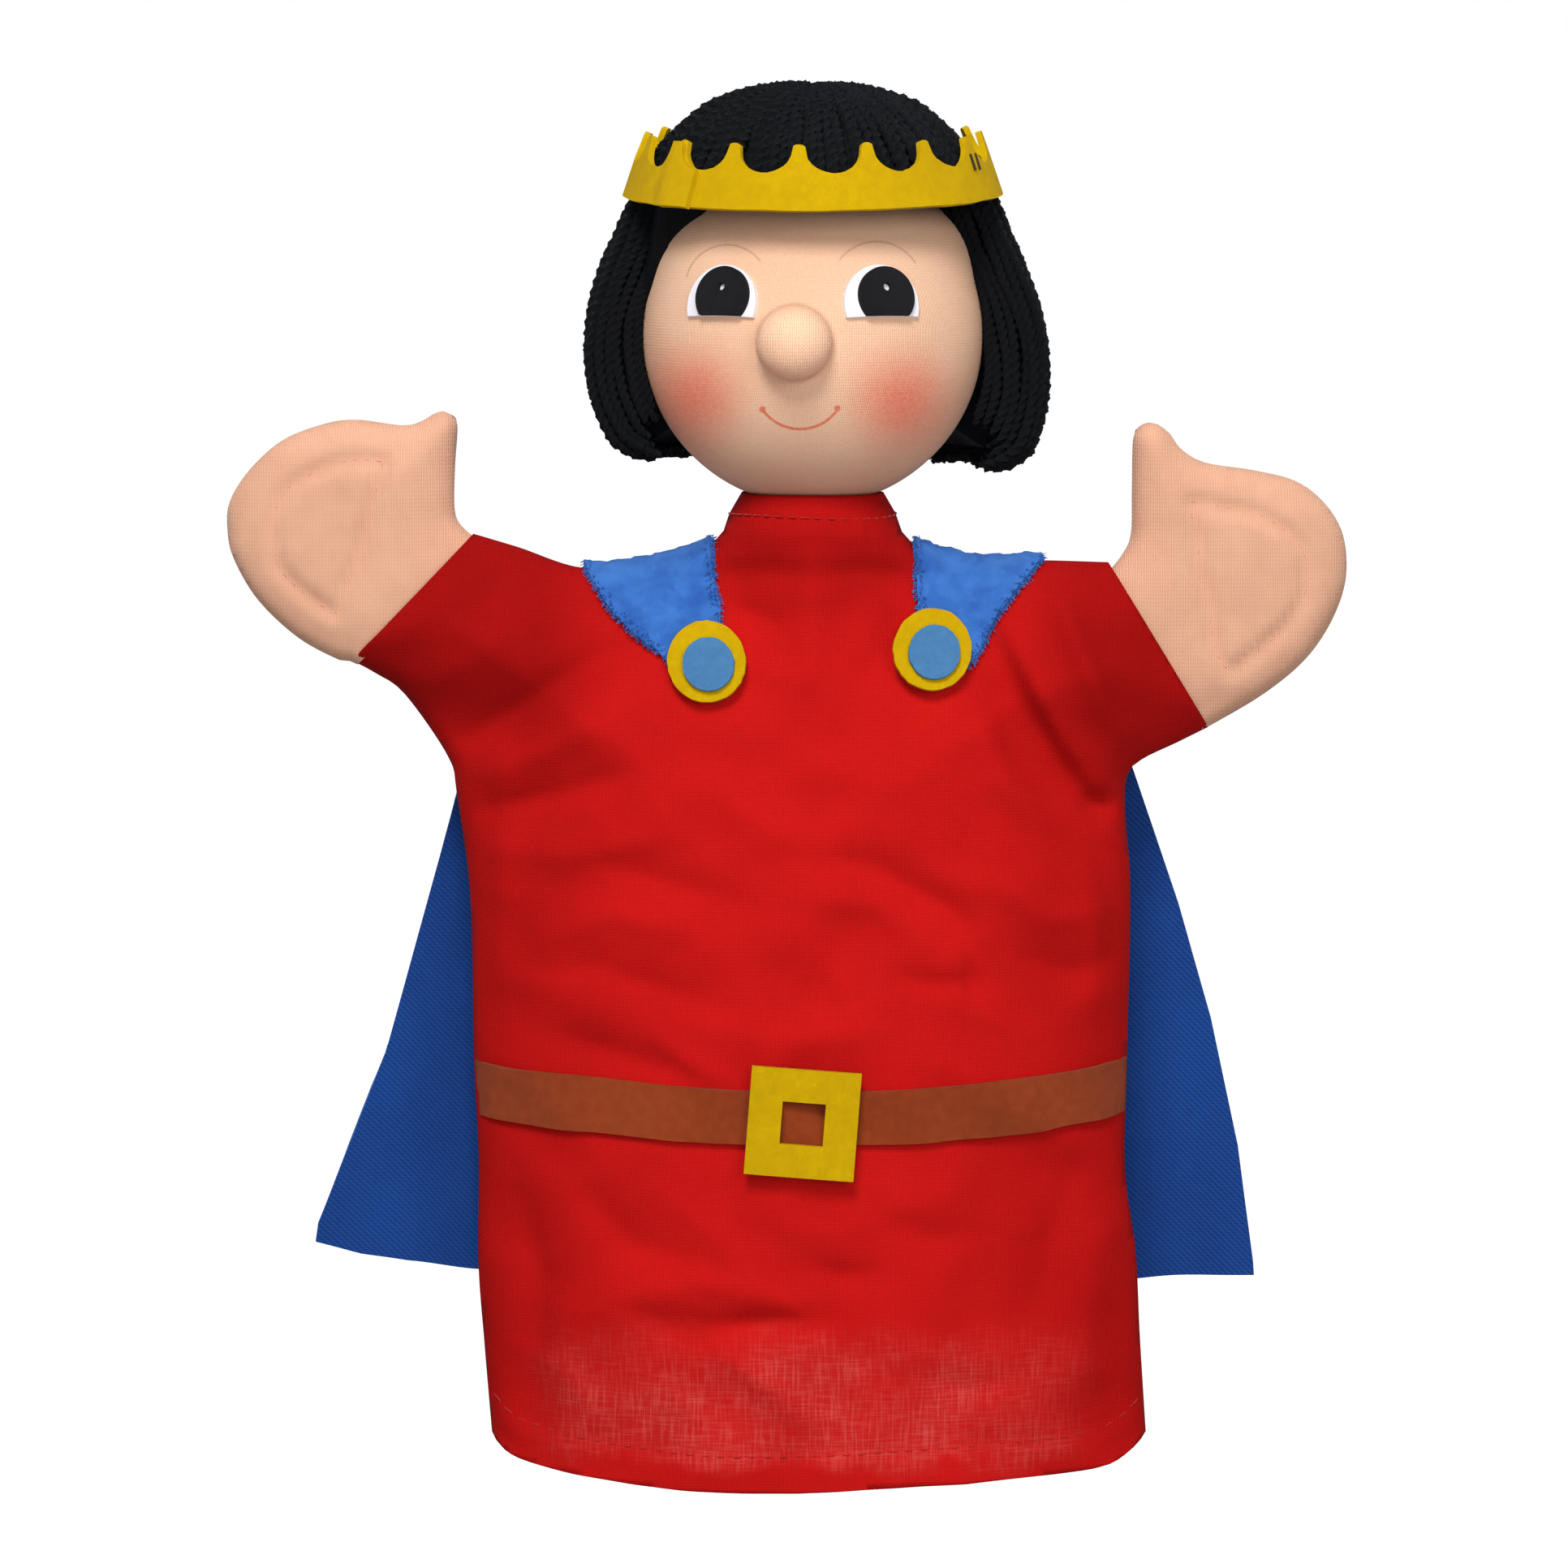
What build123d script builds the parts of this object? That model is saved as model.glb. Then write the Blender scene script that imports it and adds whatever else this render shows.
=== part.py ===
"""Glove puppet of a crowned prince, 300 mm tall, as separate sewn, glued and turned pieces.

Frame: +Z up, the puppet faces -Y, and the origin is the middle of the hand opening at the hem.
Left and right are the puppet's own, so its left hand is on +X. All sizes are in millimetres.

A hand goes up inside the gown: the index finger into the cardboard tube under the head, and the
thumb and middle finger through the sleeves into the hands. Where the cloth bends on the real
puppet, the solids end in balls and drums about the knuckle, with a small gap between them.
"""

import os
from math import cos, radians, sin, sqrt

from build123d import *

# ---- Gown -------------------------------------------------------------------------------------
gown_width = 141.0  # across the hem
gown_depth = 46.0  # front to back at the hem
chest_width = 138.0  # across the armpits
chest_depth = 46.0
armpit_height = 150.0
yoke_width = 116.0  # across the gown where the shoulders start to close
yoke_drop = 7.0  # how far that is below the shoulders
shoulder_width = 94.0
shoulder_height = 197.0
cloth = 0.8  # cotton of the gown, one layer
hem_rise = 8.0  # the hem is this much higher at the side seams than in the middle
hem_fold = 7.7  # turned-up hem, two layers
hem_overrun = 6.0  # the gown is lofted this far below the floor, then cut to the hem's curve

# ---- Neck -------------------------------------------------------------------------------------
neck_pivot_rise = 2.0  # the knuckle is this far above the shoulders
neck_ball = 21.0  # outer radius of the cloth ball that the neck bends on
neck_layer = 0.7
joint_gap = 0.4  # between one ball or drum and the next
neck_opening_rise = 8.0  # top of the lofted shoulders, above shoulder_height
neck_opening_radius = 21.0
collar_top_radius = 14.9
collar_height = 15.0  # top of the collar above the neck pivot
collar_band = 4.8  # height of the stitched channel
collar_cord_radius = 0.6
collar_ball_bottom = -7.0  # lower edges of the nested balls, from the pivot
neck_ball_bottom = -9.0
neck_ball_top = 3.0
chin_gap = 0.5  # between the collar and the head

# ---- Head -------------------------------------------------------------------------------------
head_diameter = 70.0  # foam ball
skin = 0.7  # knitted stocking over it
tube_bore = 19.0  # finger hole
tube_wall = 1.0
tube_grip = 45.0  # length of tube glued into the ball
tube_drop = 2.0  # the tube's mouth is this far below the neck pivot
tie_radius = 0.7  # thread that ties the stocking to the tube
face_turn = -4.5  # the face looks this many degrees towards the puppet's right
nose_diameter = 14.2
nose_stand_off = 2.6  # centre of the bead in front of the ball's surface
nose_drop = 0.5  # below the middle of the head
nose_side = 1.0  # to the puppet's right of the middle of the face
nose_clear = 0.05
felt = 1.0
glue = 0.05  # between one glued-on layer and the next
eye_azimuth = 28.0
eye_elevation = 16.0
eye_white_width = 15.8
eye_white_height = 10.8
pupil_radius = 6.2
pupil_height = 10.2
pupil_hole = 0.8
pupil_hole_rise = 1.8
pupil_shift = 0.7  # both pupils look a little towards the puppet's left

# ---- Hair and crown ---------------------------------------------------------------------------
hair_over_top = 17.6  # thickness of the wool over the stocking
hair_at_side = 13.4
hair_at_nape = 11.0
hair_under_crown = 12.5
hair_clear = 0.15
crown_angle = 53.0  # lower edge of the crown, from straight up at the head's centre
crown_height = 14.0
crown_lean = 20.0  # the band leans in by this angle
crown_felt = 1.3
crown_tilt = 4.5  # front edge down
crown_teeth = 16
crown_scallop = 5.2  # radius of the cut between two points
crown_point_drop = 0.9  # centre of that cut below the upper edge
crown_seam_azimuth = 68.0
stitch_radius = 0.35
hairline_y = -7.0  # front edge of the side hair
side_hair_back_y = 12.0  # where the side hair meets the back hair

# ---- Belt, buckle, cape and clasps ------------------------------------------------------------
belt_height = 11.5
belt_middle = 80.7  # height of its centre line at the front
belt_rise = 7.1  # higher at the side seams
belt_felt = 1.3
buckle_size = 24.0
buckle_window = 9.0
buckle_turn = -4.5
buckle_offset = -2.0
plush = 1.3  # blue pile cloth of the cape and its shoulder tabs
clasp_radius = 8.2
clasp_centre_radius = 5.4
clasp_offset = 24.0
clasp_height = 179.0
tab_neck_offset = 21.0  # inner corner of a shoulder tab
tab_outer_inset = 1.0  # outer corner in from the shoulder's width
tab_back_drop = 2.0  # how far the tab reaches down behind the shoulder
cape_top_width = 96.0
cape_bottom_width = 198.0
cape_bottom_left = 48.0  # height of its lower corners
cape_bottom_right = 55.0
cape_bottom_bow = 4.0
cape_bottom_shift = -5.5
cape_gap = 0.5
cape_curve = 900.0  # radius in plan
cape_slope = 3.0  # degrees, lower edge away from the gown

# ---- Sleeves and hands ------------------------------------------------------------------------
sleeve_depth = 26.0
cuff_set_back = 3.0  # sleeve end behind the wrist line
hand_depth = 15.0
fleece = 1.4
hand_root = 4.0  # length of hand inside the sleeve, behind the wrist line
hand_root_play = 7.5  # on each side
hand_shoulder = 4.0  # where the hand reaches full width, from the wrist line
wadding_clear = 0.15
thumb_tip_radius = 3.6
thumb_root_radius = 8.0
# side, shoulder pivot in from the chest's side, below the shoulders, armhole radius,
# wrist from the shoulder (out, up), wrist line's width, degrees the hand points up, and where
# the underside of the sleeve leaves the armhole (degrees from straight out)
ARMS = (
    ("right", -1, 7.3, 21.6, 25.5, 22.3, 15.6, 36.6, 45.0, -2.0),
    ("left", 1, 12.0, 19.5, 22.0, 15.8, 3.2, 38.8, 32.5, -35.0),
)
# palm radius, palm centre from the wrist line (out, towards the thumb), thumb tip (the same)
MITTENS = {
    "right": (21.7, 22.4, -1.5, 21.3, 29.6),
    "left": (20.3, 25.8, 2.6, 22.4, 37.8),
}

# ---- Places worked out from the sizes ---------------------------------------------------------
pivot_height = shoulder_height + neck_pivot_rise
head_radius = head_diameter / 2
cover_radius = head_radius + skin
collar_top = pivot_height + collar_height
head_height = collar_top + chin_gap + sqrt(cover_radius**2 - collar_top_radius**2)
tube_outer = tube_bore / 2 + tube_wall
tube_mouth = pivot_height - tube_drop
ball_underside = head_height - sqrt(head_radius**2 - tube_outer**2)
tube_top = ball_underside + tube_grip
big = 400.0  # longer than the puppet, for cutting tools

GOWN_SECTIONS = (
    (-hem_overrun, gown_width, gown_depth),
    (armpit_height, chest_width, chest_depth),
    (shoulder_height - yoke_drop, yoke_width, chest_depth),
    (shoulder_height, shoulder_width, chest_depth),
    (shoulder_height + neck_opening_rise, 2 * neck_opening_radius, 2 * neck_opening_radius),
)


# ---- Helpers ----------------------------------------------------------------------------------
def gown_form(swell):
    """The gown's filled outline, grown by swell on every side."""
    with BuildPart() as form:
        for height, width, depth in GOWN_SECTIONS:
            with BuildSketch(Plane.XY.offset(height + swell)):
                Ellipse(width / 2 + swell, depth / 2 + swell)
        loft(ruled=True)
    return form.part


def gown_layer(inner, thickness):
    """A skin on the gown, from inner to inner + thickness off its outside."""
    with BuildPart() as layer:
        add(gown_form(inner + thickness))
        add(gown_form(inner), mode=Mode.SUBTRACT)
    return layer.part


def bowed_band(low, high, rise, half_width):
    """Front-view outline from height low to high in the middle, rise higher at the half width."""
    bow = (half_width**2 + rise**2) / (2 * rise)
    reach = 1.3 * half_width
    lift = bow - sqrt(bow**2 - reach**2)
    with BuildSketch(Plane.XZ) as band:
        with BuildLine():
            ThreePointArc((-reach, low + lift), (0, low), (reach, low + lift))
            Line((reach, low + lift), (reach, high + lift))
            ThreePointArc((reach, high + lift), (0, high), (-reach, high + lift))
            Line((-reach, high + lift), (-reach, low + lift))
        make_face()
    return band.sketch


def slab(outline, depth):
    """A front-view outline made depth thick, half in front of the seams and half behind."""
    with BuildPart() as solid:
        extrude(Pos(0, depth / 2, 0) * outline, amount=depth, dir=(0, -1, 0))
    return solid.part


def through(outline):
    """A cutting prism: the front-view outline run from far in front to far behind."""
    return slab(outline, 2 * big)


def kept_in(piece, block):
    """The part of a piece that lies inside a block."""
    with BuildPart() as kept:
        add(piece)
        add(block, mode=Mode.INTERSECT)
    return kept.part


def ball_zone(outer, thickness, bottom, top):
    """A ring of a hollow ball about the neck pivot, between two heights from the pivot."""
    with BuildPart() as zone:
        with Locations((0, 0, pivot_height)):
            Sphere(outer)
            Sphere(outer - thickness, mode=Mode.SUBTRACT)
        with Locations((0, 0, pivot_height + (bottom + top) / 2)):
            Box(big, big, top - bottom, mode=Mode.INTERSECT)
    return zone.part


def write(piece, name):
    """Labels a finished piece and writes its file."""
    piece.label = name
    export_step(piece, f"parts/{name}.step")


def turned(piece):
    """A piece of the head, turned with the face."""
    return piece.rotate(Axis.Z, face_turn)


os.makedirs("parts", exist_ok=True)
FRONT_HALF = Pos(0, -big / 2, 0) * Box(big, big, 2 * big)
BACK_HALF = Pos(0, big / 2, 0) * Box(big, big, 2 * big)
HALVES = (("front", FRONT_HALF), ("back", BACK_HALF))

with BuildPart() as armholes:
    for _, sign, inset, drop, armhole, *_ in ARMS:
        armhole_place = (sign * (chest_width / 2 - inset), 0, shoulder_height - drop)
        with Locations(Location(armhole_place, (90, 0, 0))):
            Cylinder(armhole + joint_gap, big)
armhole_cuts = armholes.part

# ---- Gown panels: two layers thick at the hem, cut away at the neck and armholes --------------
hem_zone_top = bowed_band(hem_fold, big, hem_rise, gown_width / 2)
below_hem = bowed_band(-big, 0, hem_rise, gown_width / 2)
with BuildPart() as gown:
    add(gown_form(0))
    add(gown_form(-2 * cloth), mode=Mode.SUBTRACT)
    add(kept_in(gown_form(-cloth), through(hem_zone_top)), mode=Mode.SUBTRACT)
    add(through(below_hem), mode=Mode.SUBTRACT)
    with Locations((0, 0, pivot_height)):
        Sphere(neck_ball + joint_gap, mode=Mode.SUBTRACT)
    add(armhole_cuts, mode=Mode.SUBTRACT)

for name, half in HALVES:
    write(kept_in(gown.part, half), f"gown_{name}")

# ---- Neck: the gown's neck, then the collar with its cord, nested balls about one pivot --------
write(ball_zone(neck_ball, neck_layer, neck_ball_bottom, neck_ball_top), "gown_neck")

collar_ball = neck_ball - neck_layer - joint_gap
collar_inner = collar_ball - neck_layer
band_bottom = collar_height - collar_band
band_radius = sqrt(collar_ball**2 - band_bottom**2)
band_wall = 2 * collar_cord_radius + 0.2 + 2 * neck_layer
under_chin = head_height - chin_gap - sqrt(cover_radius**2 - (collar_top_radius - band_wall) ** 2)
with BuildPart() as collar:
    add(ball_zone(collar_ball, neck_layer, collar_ball_bottom, band_bottom))
    with BuildSketch(Plane.XZ):
        with BuildLine():
            Polyline(
                (band_radius, pivot_height + band_bottom),
                (collar_top_radius, collar_top),
                (collar_top_radius - band_wall, under_chin),
                (band_radius - band_wall, pivot_height + band_bottom),
                close=True,
            )
        make_face()
    revolve(axis=Axis.Z)
cord_height = pivot_height + band_bottom + collar_band / 2
cord_ring_radius = (band_radius + collar_top_radius - band_wall) / 2
cord_ring = Pos(0, 0, cord_height) * Torus(cord_ring_radius, collar_cord_radius)
with BuildPart() as collar_with_channel:
    add(collar.part)
    add(cord_ring, mode=Mode.SUBTRACT)
write(collar_with_channel.part, "collar")
with BuildPart() as collar_cord:
    add(cord_ring)
write(collar_cord.part, "collar_cord")

# ---- Head: foam ball, nose bead, cardboard tube, stocking and its tie -------------------------
nose_out = head_radius + nose_stand_off
nose_place = Pos(-nose_side, -nose_out, head_height - nose_drop)
with BuildPart() as head_ball:
    with Locations((0, 0, head_height)):
        Sphere(head_radius)
    with Locations(nose_place):
        Sphere(nose_diameter / 2 + nose_clear, mode=Mode.SUBTRACT)
    with BuildSketch(Plane.XY.offset(tube_top)):
        Circle(tube_outer)
    extrude(amount=-big, mode=Mode.SUBTRACT)
write(turned(head_ball.part), "head_ball")

with BuildPart() as nose_bead:
    with Locations(nose_place):
        Sphere(nose_diameter / 2)
write(turned(nose_bead.part), "nose_bead")

with BuildPart() as neck_tube:
    with BuildSketch(Plane.XY.offset(tube_mouth)):
        Circle(tube_outer)
        Circle(tube_bore / 2, mode=Mode.SUBTRACT)
    extrude(amount=tube_top - tube_mouth)
write(neck_tube.part, "neck_tube")

cover_mouth = tube_mouth + tube_drop + 1.0
with BuildPart() as head_cover:
    with Locations((0, 0, head_height)):
        Sphere(cover_radius)
    with Locations(nose_place):
        Sphere(nose_diameter / 2 + skin)
    with BuildSketch(Plane.XY.offset(cover_mouth)):
        Circle(tube_outer + skin)
    extrude(amount=head_height - cover_mouth)
    with Locations((0, 0, head_height)):
        Sphere(head_radius, mode=Mode.SUBTRACT)
    with Locations(nose_place):
        Sphere(nose_diameter / 2 + nose_clear, mode=Mode.SUBTRACT)
    with BuildSketch(Plane.XY.offset(cover_mouth)):
        Circle(tube_outer)
    extrude(amount=head_height - cover_mouth, mode=Mode.SUBTRACT)
write(turned(head_cover.part), "head_cover")

tie_height = (cover_mouth + ball_underside) / 2
with BuildPart() as neck_tie:
    for turn in (-1, 0, 1):
        with Locations((0, 0, tie_height + 2 * turn * tie_radius)):
            Torus(tube_outer + skin + tie_radius, tie_radius)
write(neck_tie.part, "neck_tie")


# ---- Eyes: two layers of felt on the curve of the face ----------------------------------------
def felt_on_head(outline, outward, layer):
    """A felt shape bent over the head: an outline at its centre run outwards, layer counts up."""
    inner = cover_radius + glue + layer * (felt + glue)
    with BuildPart() as shape:
        extrude(outline, amount=big, dir=outward)
        with Locations((0, 0, head_height)):
            Sphere(inner + felt, mode=Mode.INTERSECT)
            Sphere(inner, mode=Mode.SUBTRACT)
    return shape.part


for side, sign in (("left", 1), ("right", -1)):
    azimuth, elevation = radians(sign * eye_azimuth), radians(eye_elevation)
    outward = Vector(
        sin(azimuth) * cos(elevation), -cos(azimuth) * cos(elevation), sin(elevation)
    )
    across = Vector(cos(azimuth), sin(azimuth), 0)
    face = Plane(origin=(0, 0, head_height), x_dir=across, z_dir=outward)
    half_width, lower = eye_white_width / 2, -eye_white_height / 2
    with BuildSketch(face) as white:
        with BuildLine():
            ThreePointArc((-half_width, lower), (0, -lower), (half_width, lower))
            Line((half_width, lower), (-half_width, lower))
        make_face()
    write(turned(felt_on_head(white.sketch, outward, 0)), f"eye_white_{side}")
    with BuildSketch(face) as pupil:
        pupil_middle = lower + pupil_height - pupil_radius
        with Locations((pupil_shift, pupil_middle)):
            Circle(pupil_radius)
        with Locations((pupil_shift, lower - pupil_radius)):
            Rectangle(4 * pupil_radius, 2 * pupil_radius, mode=Mode.SUBTRACT)
        with Locations((pupil_shift, pupil_middle + pupil_hole_rise)):
            Circle(pupil_hole, mode=Mode.SUBTRACT)
    write(turned(felt_on_head(pupil.sketch, outward, 1)), f"pupil_{side}")

# ---- Crown: a leaning felt band with scalloped points, tilted down at the front ----------------
crown_out = cover_radius + hair_under_crown
crown_base_radius = crown_out * sin(radians(crown_angle))
crown_base_height = crown_out * cos(radians(crown_angle))
lean_in = crown_height * sin(radians(crown_lean))
crown_rise = crown_height * cos(radians(crown_lean))
crown_place = Location((0, 0, head_height + crown_base_height), (crown_tilt, 0, 0))


def crown_ring(inner_slack, thickness, below, above):
    """A leaning ring in the crown's own frame, its base on Z 0 before below and above."""
    slope = lean_in / crown_rise
    inner = crown_base_radius - inner_slack
    with BuildPart() as ring:
        with BuildSketch(Plane.XZ):
            with BuildLine():
                Polyline(
                    (inner + slope * below, -below),
                    (inner + slope * below + thickness, -below),
                    (inner - slope * (crown_rise + above) + thickness, crown_rise + above),
                    (inner - slope * (crown_rise + above), crown_rise + above),
                    close=True,
                )
            make_face()
        revolve(axis=Axis.Z)
    return ring.part


with BuildPart() as crown:
    add(crown_ring(0, crown_felt, 0, 0))
    with Locations((0, 0, crown_rise - crown_point_drop)):
        with PolarLocations(0, crown_teeth):
            Cylinder(
                crown_scallop,
                2 * crown_base_radius,
                rotation=(0, 90, 0),
                align=(Align.CENTER, Align.CENTER, Align.MIN),
                mode=Mode.SUBTRACT,
            )
crown_part = crown_place * crown.part
write(turned(crown_part), "crown")

seam_radius = crown_base_radius + crown_felt - lean_in / 2
with BuildPart() as crown_stitch:
    with BuildSketch(Plane.XY):
        Circle(stitch_radius)
    extrude(amount=crown_height / 4)
seam_angle = radians(crown_seam_azimuth - 90)
stitch_gap = stitch_radius + glue
stitches = Compound(
    children=[
        crown_place
        * Pos(
            (seam_radius + stitch_gap + 0.2) * cos(seam_angle + step),
            (seam_radius + stitch_gap + 0.2) * sin(seam_angle + step),
            crown_rise / 2,
        )
        * Rot(Z=crown_seam_azimuth - 90)
        * Rot(Y=-crown_lean)
        * crown_stitch.part
        for step in (-0.03, 0.03)
    ]
)
write(turned(stitches), "crown_stitch")

# ---- Hair: wool that covers the ball outside the face, in four hanks ---------------------------


def off_centre(angle, thickness):
    """A point of the hair's profile, angle degrees from straight up."""
    reach = cover_radius + thickness
    return (reach * sin(radians(angle)), head_height + reach * cos(radians(angle)))


with BuildPart() as wool:
    with BuildSketch(Plane.XZ):
        with BuildLine():
            dome = Spline(
                off_centre(0, hair_over_top),
                off_centre(25, hair_over_top),
                off_centre(crown_angle, hair_under_crown),
                off_centre(78, hair_at_side - 0.6),
                off_centre(96, hair_at_side),
                off_centre(114, hair_at_side),
                off_centre(126, hair_at_nape),
                tangents=((1, 0), (-1, -1)),
            )
            Line(dome @ 1, off_centre(128, 0))
            Line(off_centre(128, 0), (0, head_height))
            Line((0, head_height), dome @ 0)
        make_face()
    revolve(axis=Axis.Z)
    with Locations((0, 0, head_height)):
        Sphere(cover_radius + hair_clear, mode=Mode.SUBTRACT)
    add(crown_place * crown_ring(hair_clear, big / 4, 0, hair_clear), mode=Mode.SUBTRACT)
parting = crown_place * Pos(0, 0, big / 2) * Box(big, big, big)
face_opening = Pos(0, hairline_y - big / 2, head_height) * Box(big, big, big)

behind = Pos(0, side_hair_back_y + big / 2, head_height) * Box(big, big, big)

write(turned(kept_in(wool.part, parting)), "hair_top")
with BuildPart() as fall:
    add(wool.part)
    add(parting, mode=Mode.SUBTRACT)
    add(face_opening, mode=Mode.SUBTRACT)
write(turned(kept_in(fall.part, behind)), "hair_back")
for side, sign in (("left", 1), ("right", -1)):
    with BuildPart() as hank:
        add(fall.part)
        add(behind, mode=Mode.SUBTRACT)
        with Locations((sign * big / 2, 0, head_height)):
            Box(big, big, big, mode=Mode.INTERSECT)
    write(turned(hank.part), f"hair_{side}")

# ---- Belt and buckle --------------------------------------------------------------------------
belt_low = belt_middle - belt_height / 2
belt_outline = bowed_band(belt_low, belt_low + belt_height, belt_rise, gown_width / 2)
with BuildPart() as belt:
    add(gown_layer(glue, belt_felt))
    add(through(belt_outline), mode=Mode.INTERSECT)
write(belt.part, "belt")


def badge(outline, inner, thickness):
    """A felt shape laid on the front of the gown, inner off its surface."""
    with BuildPart() as piece:
        add(gown_layer(inner, thickness))
        add(through(outline), mode=Mode.INTERSECT)
        add(FRONT_HALF, mode=Mode.INTERSECT)
    return piece.part


with BuildSketch(Plane.XZ) as buckle_outline:
    with Locations(Location((buckle_offset, belt_middle, 0), (0, 0, buckle_turn))):
        Rectangle(buckle_size, buckle_size)
        Rectangle(buckle_window, buckle_window, mode=Mode.SUBTRACT)
write(badge(buckle_outline.sketch, belt_felt + 2 * glue, belt_felt), "buckle")

# ---- Cape with its shoulder tabs and felt clasps -----------------------------------------------
for side, sign in (("left", 1), ("right", -1)):
    tab_outer = shoulder_width / 2 - tab_outer_inset
    with BuildSketch(Plane.XZ) as tab_outline:
        with BuildLine():
            Polyline(
                (sign * tab_neck_offset, big),
                (sign * tab_neck_offset, clasp_height),
                (sign * (clasp_offset + clasp_radius / 2), clasp_height),
                (sign * tab_outer, shoulder_height),
                (sign * tab_outer, big),
                close=True,
            )
        make_face()
    back_tail = Pos(0, big / 2, shoulder_height - tab_back_drop - big / 2) * Box(big, big, big)
    with BuildPart() as tab:
        add(gown_layer(glue, plush))
        add(through(tab_outline.sketch), mode=Mode.INTERSECT)
        add(back_tail, mode=Mode.SUBTRACT)
        add(armhole_cuts, mode=Mode.SUBTRACT)
        with Locations((0, 0, pivot_height)):
            Sphere(neck_ball + joint_gap, mode=Mode.SUBTRACT)
    write(tab.part, f"shoulder_tab_{side}")
    for name, radius, layer in (("rim", clasp_radius, 1), ("centre", clasp_centre_radius, 2)):
        with BuildSketch(Plane.XZ) as disc:
            with Locations((sign * clasp_offset, clasp_height)):
                Circle(radius)
        lift = glue + plush + glue + (layer - 1) * (belt_felt + glue)
        write(badge(disc.sketch, lift, belt_felt), f"clasp_{name}_{side}")

cape_inner = chest_depth / 2 + glue + plush + cape_gap
with BuildPart() as cape_slab:
    with BuildSketch(Plane.XY.offset(-big)):
        with Locations((0, cape_inner - cape_curve + plush)):
            Circle(cape_curve)
            Circle(cape_curve - plush, mode=Mode.SUBTRACT)
        with Locations((0, cape_inner)):
            Rectangle(1.4 * cape_bottom_width, big / 4, mode=Mode.INTERSECT)
    extrude(amount=2 * big)
cape_hinge = Location((0, cape_inner, shoulder_height))
hung = cape_hinge * Rot(X=cape_slope) * cape_hinge.inverse()
with BuildSketch(Plane.XZ) as cape_outline:
    with BuildLine():
        left = (cape_bottom_shift + cape_bottom_width / 2, cape_bottom_left)
        right = (cape_bottom_shift - cape_bottom_width / 2, cape_bottom_right)
        middle = (cape_bottom_shift, (cape_bottom_left + cape_bottom_right) / 2 - cape_bottom_bow)
        Line((cape_top_width / 2, shoulder_height), left)
        ThreePointArc(left, middle, right)
        Line(right, (-cape_top_width / 2, shoulder_height))
        Line((-cape_top_width / 2, shoulder_height), (cape_top_width / 2, shoulder_height))
    make_face()
with BuildPart() as cape:
    add(hung * cape_slab.part)
    add(through(cape_outline.sketch), mode=Mode.INTERSECT)
write(cape.part, "cape")


# ---- Arms: a sleeve that turns in the armhole, and a padded mitten hand that folds at the wrist -
def hand_outline(width, palm, reach, rise, tip_out, tip_up):
    """The mitten in its own plane: the wrist line on Y, the fingers towards X, the thumb on +Y."""
    half = width / 2
    with BuildSketch() as fingers:
        with BuildLine():
            CenterArc((reach, rise), palm, 0, 360)
            Line((hand_shoulder, 1 - half), (hand_shoulder, half - 1))
        make_hull()
    with BuildSketch() as thumb:
        with BuildLine():
            CenterArc((tip_out, tip_up), thumb_tip_radius, 0, 360)
            CenterArc((tip_out - 3, rise + palm - thumb_root_radius), thumb_root_radius, 0, 360)
            Line((hand_shoulder, 0), (hand_shoulder, half - 1))
        make_hull()
    with BuildSketch() as outline:
        add(fingers.sketch)
        add(thumb.sketch)
        Rectangle(4 * hand_root, width - 2 * (cloth + hand_root_play))
    return outline.sketch


def wadding_outline(palm, reach, rise):
    """The quilted pad: a half round on the finger side of the mitten."""
    with BuildSketch() as outline:
        with Locations((reach, rise)):
            Circle(0.72 * palm)
        with Locations(Location((reach, rise, 0), (0, 0, 18.0))):
            Rectangle(palm, 2 * palm, align=(Align.MAX, Align.CENTER), mode=Mode.SUBTRACT)
    return outline.sketch


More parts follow.
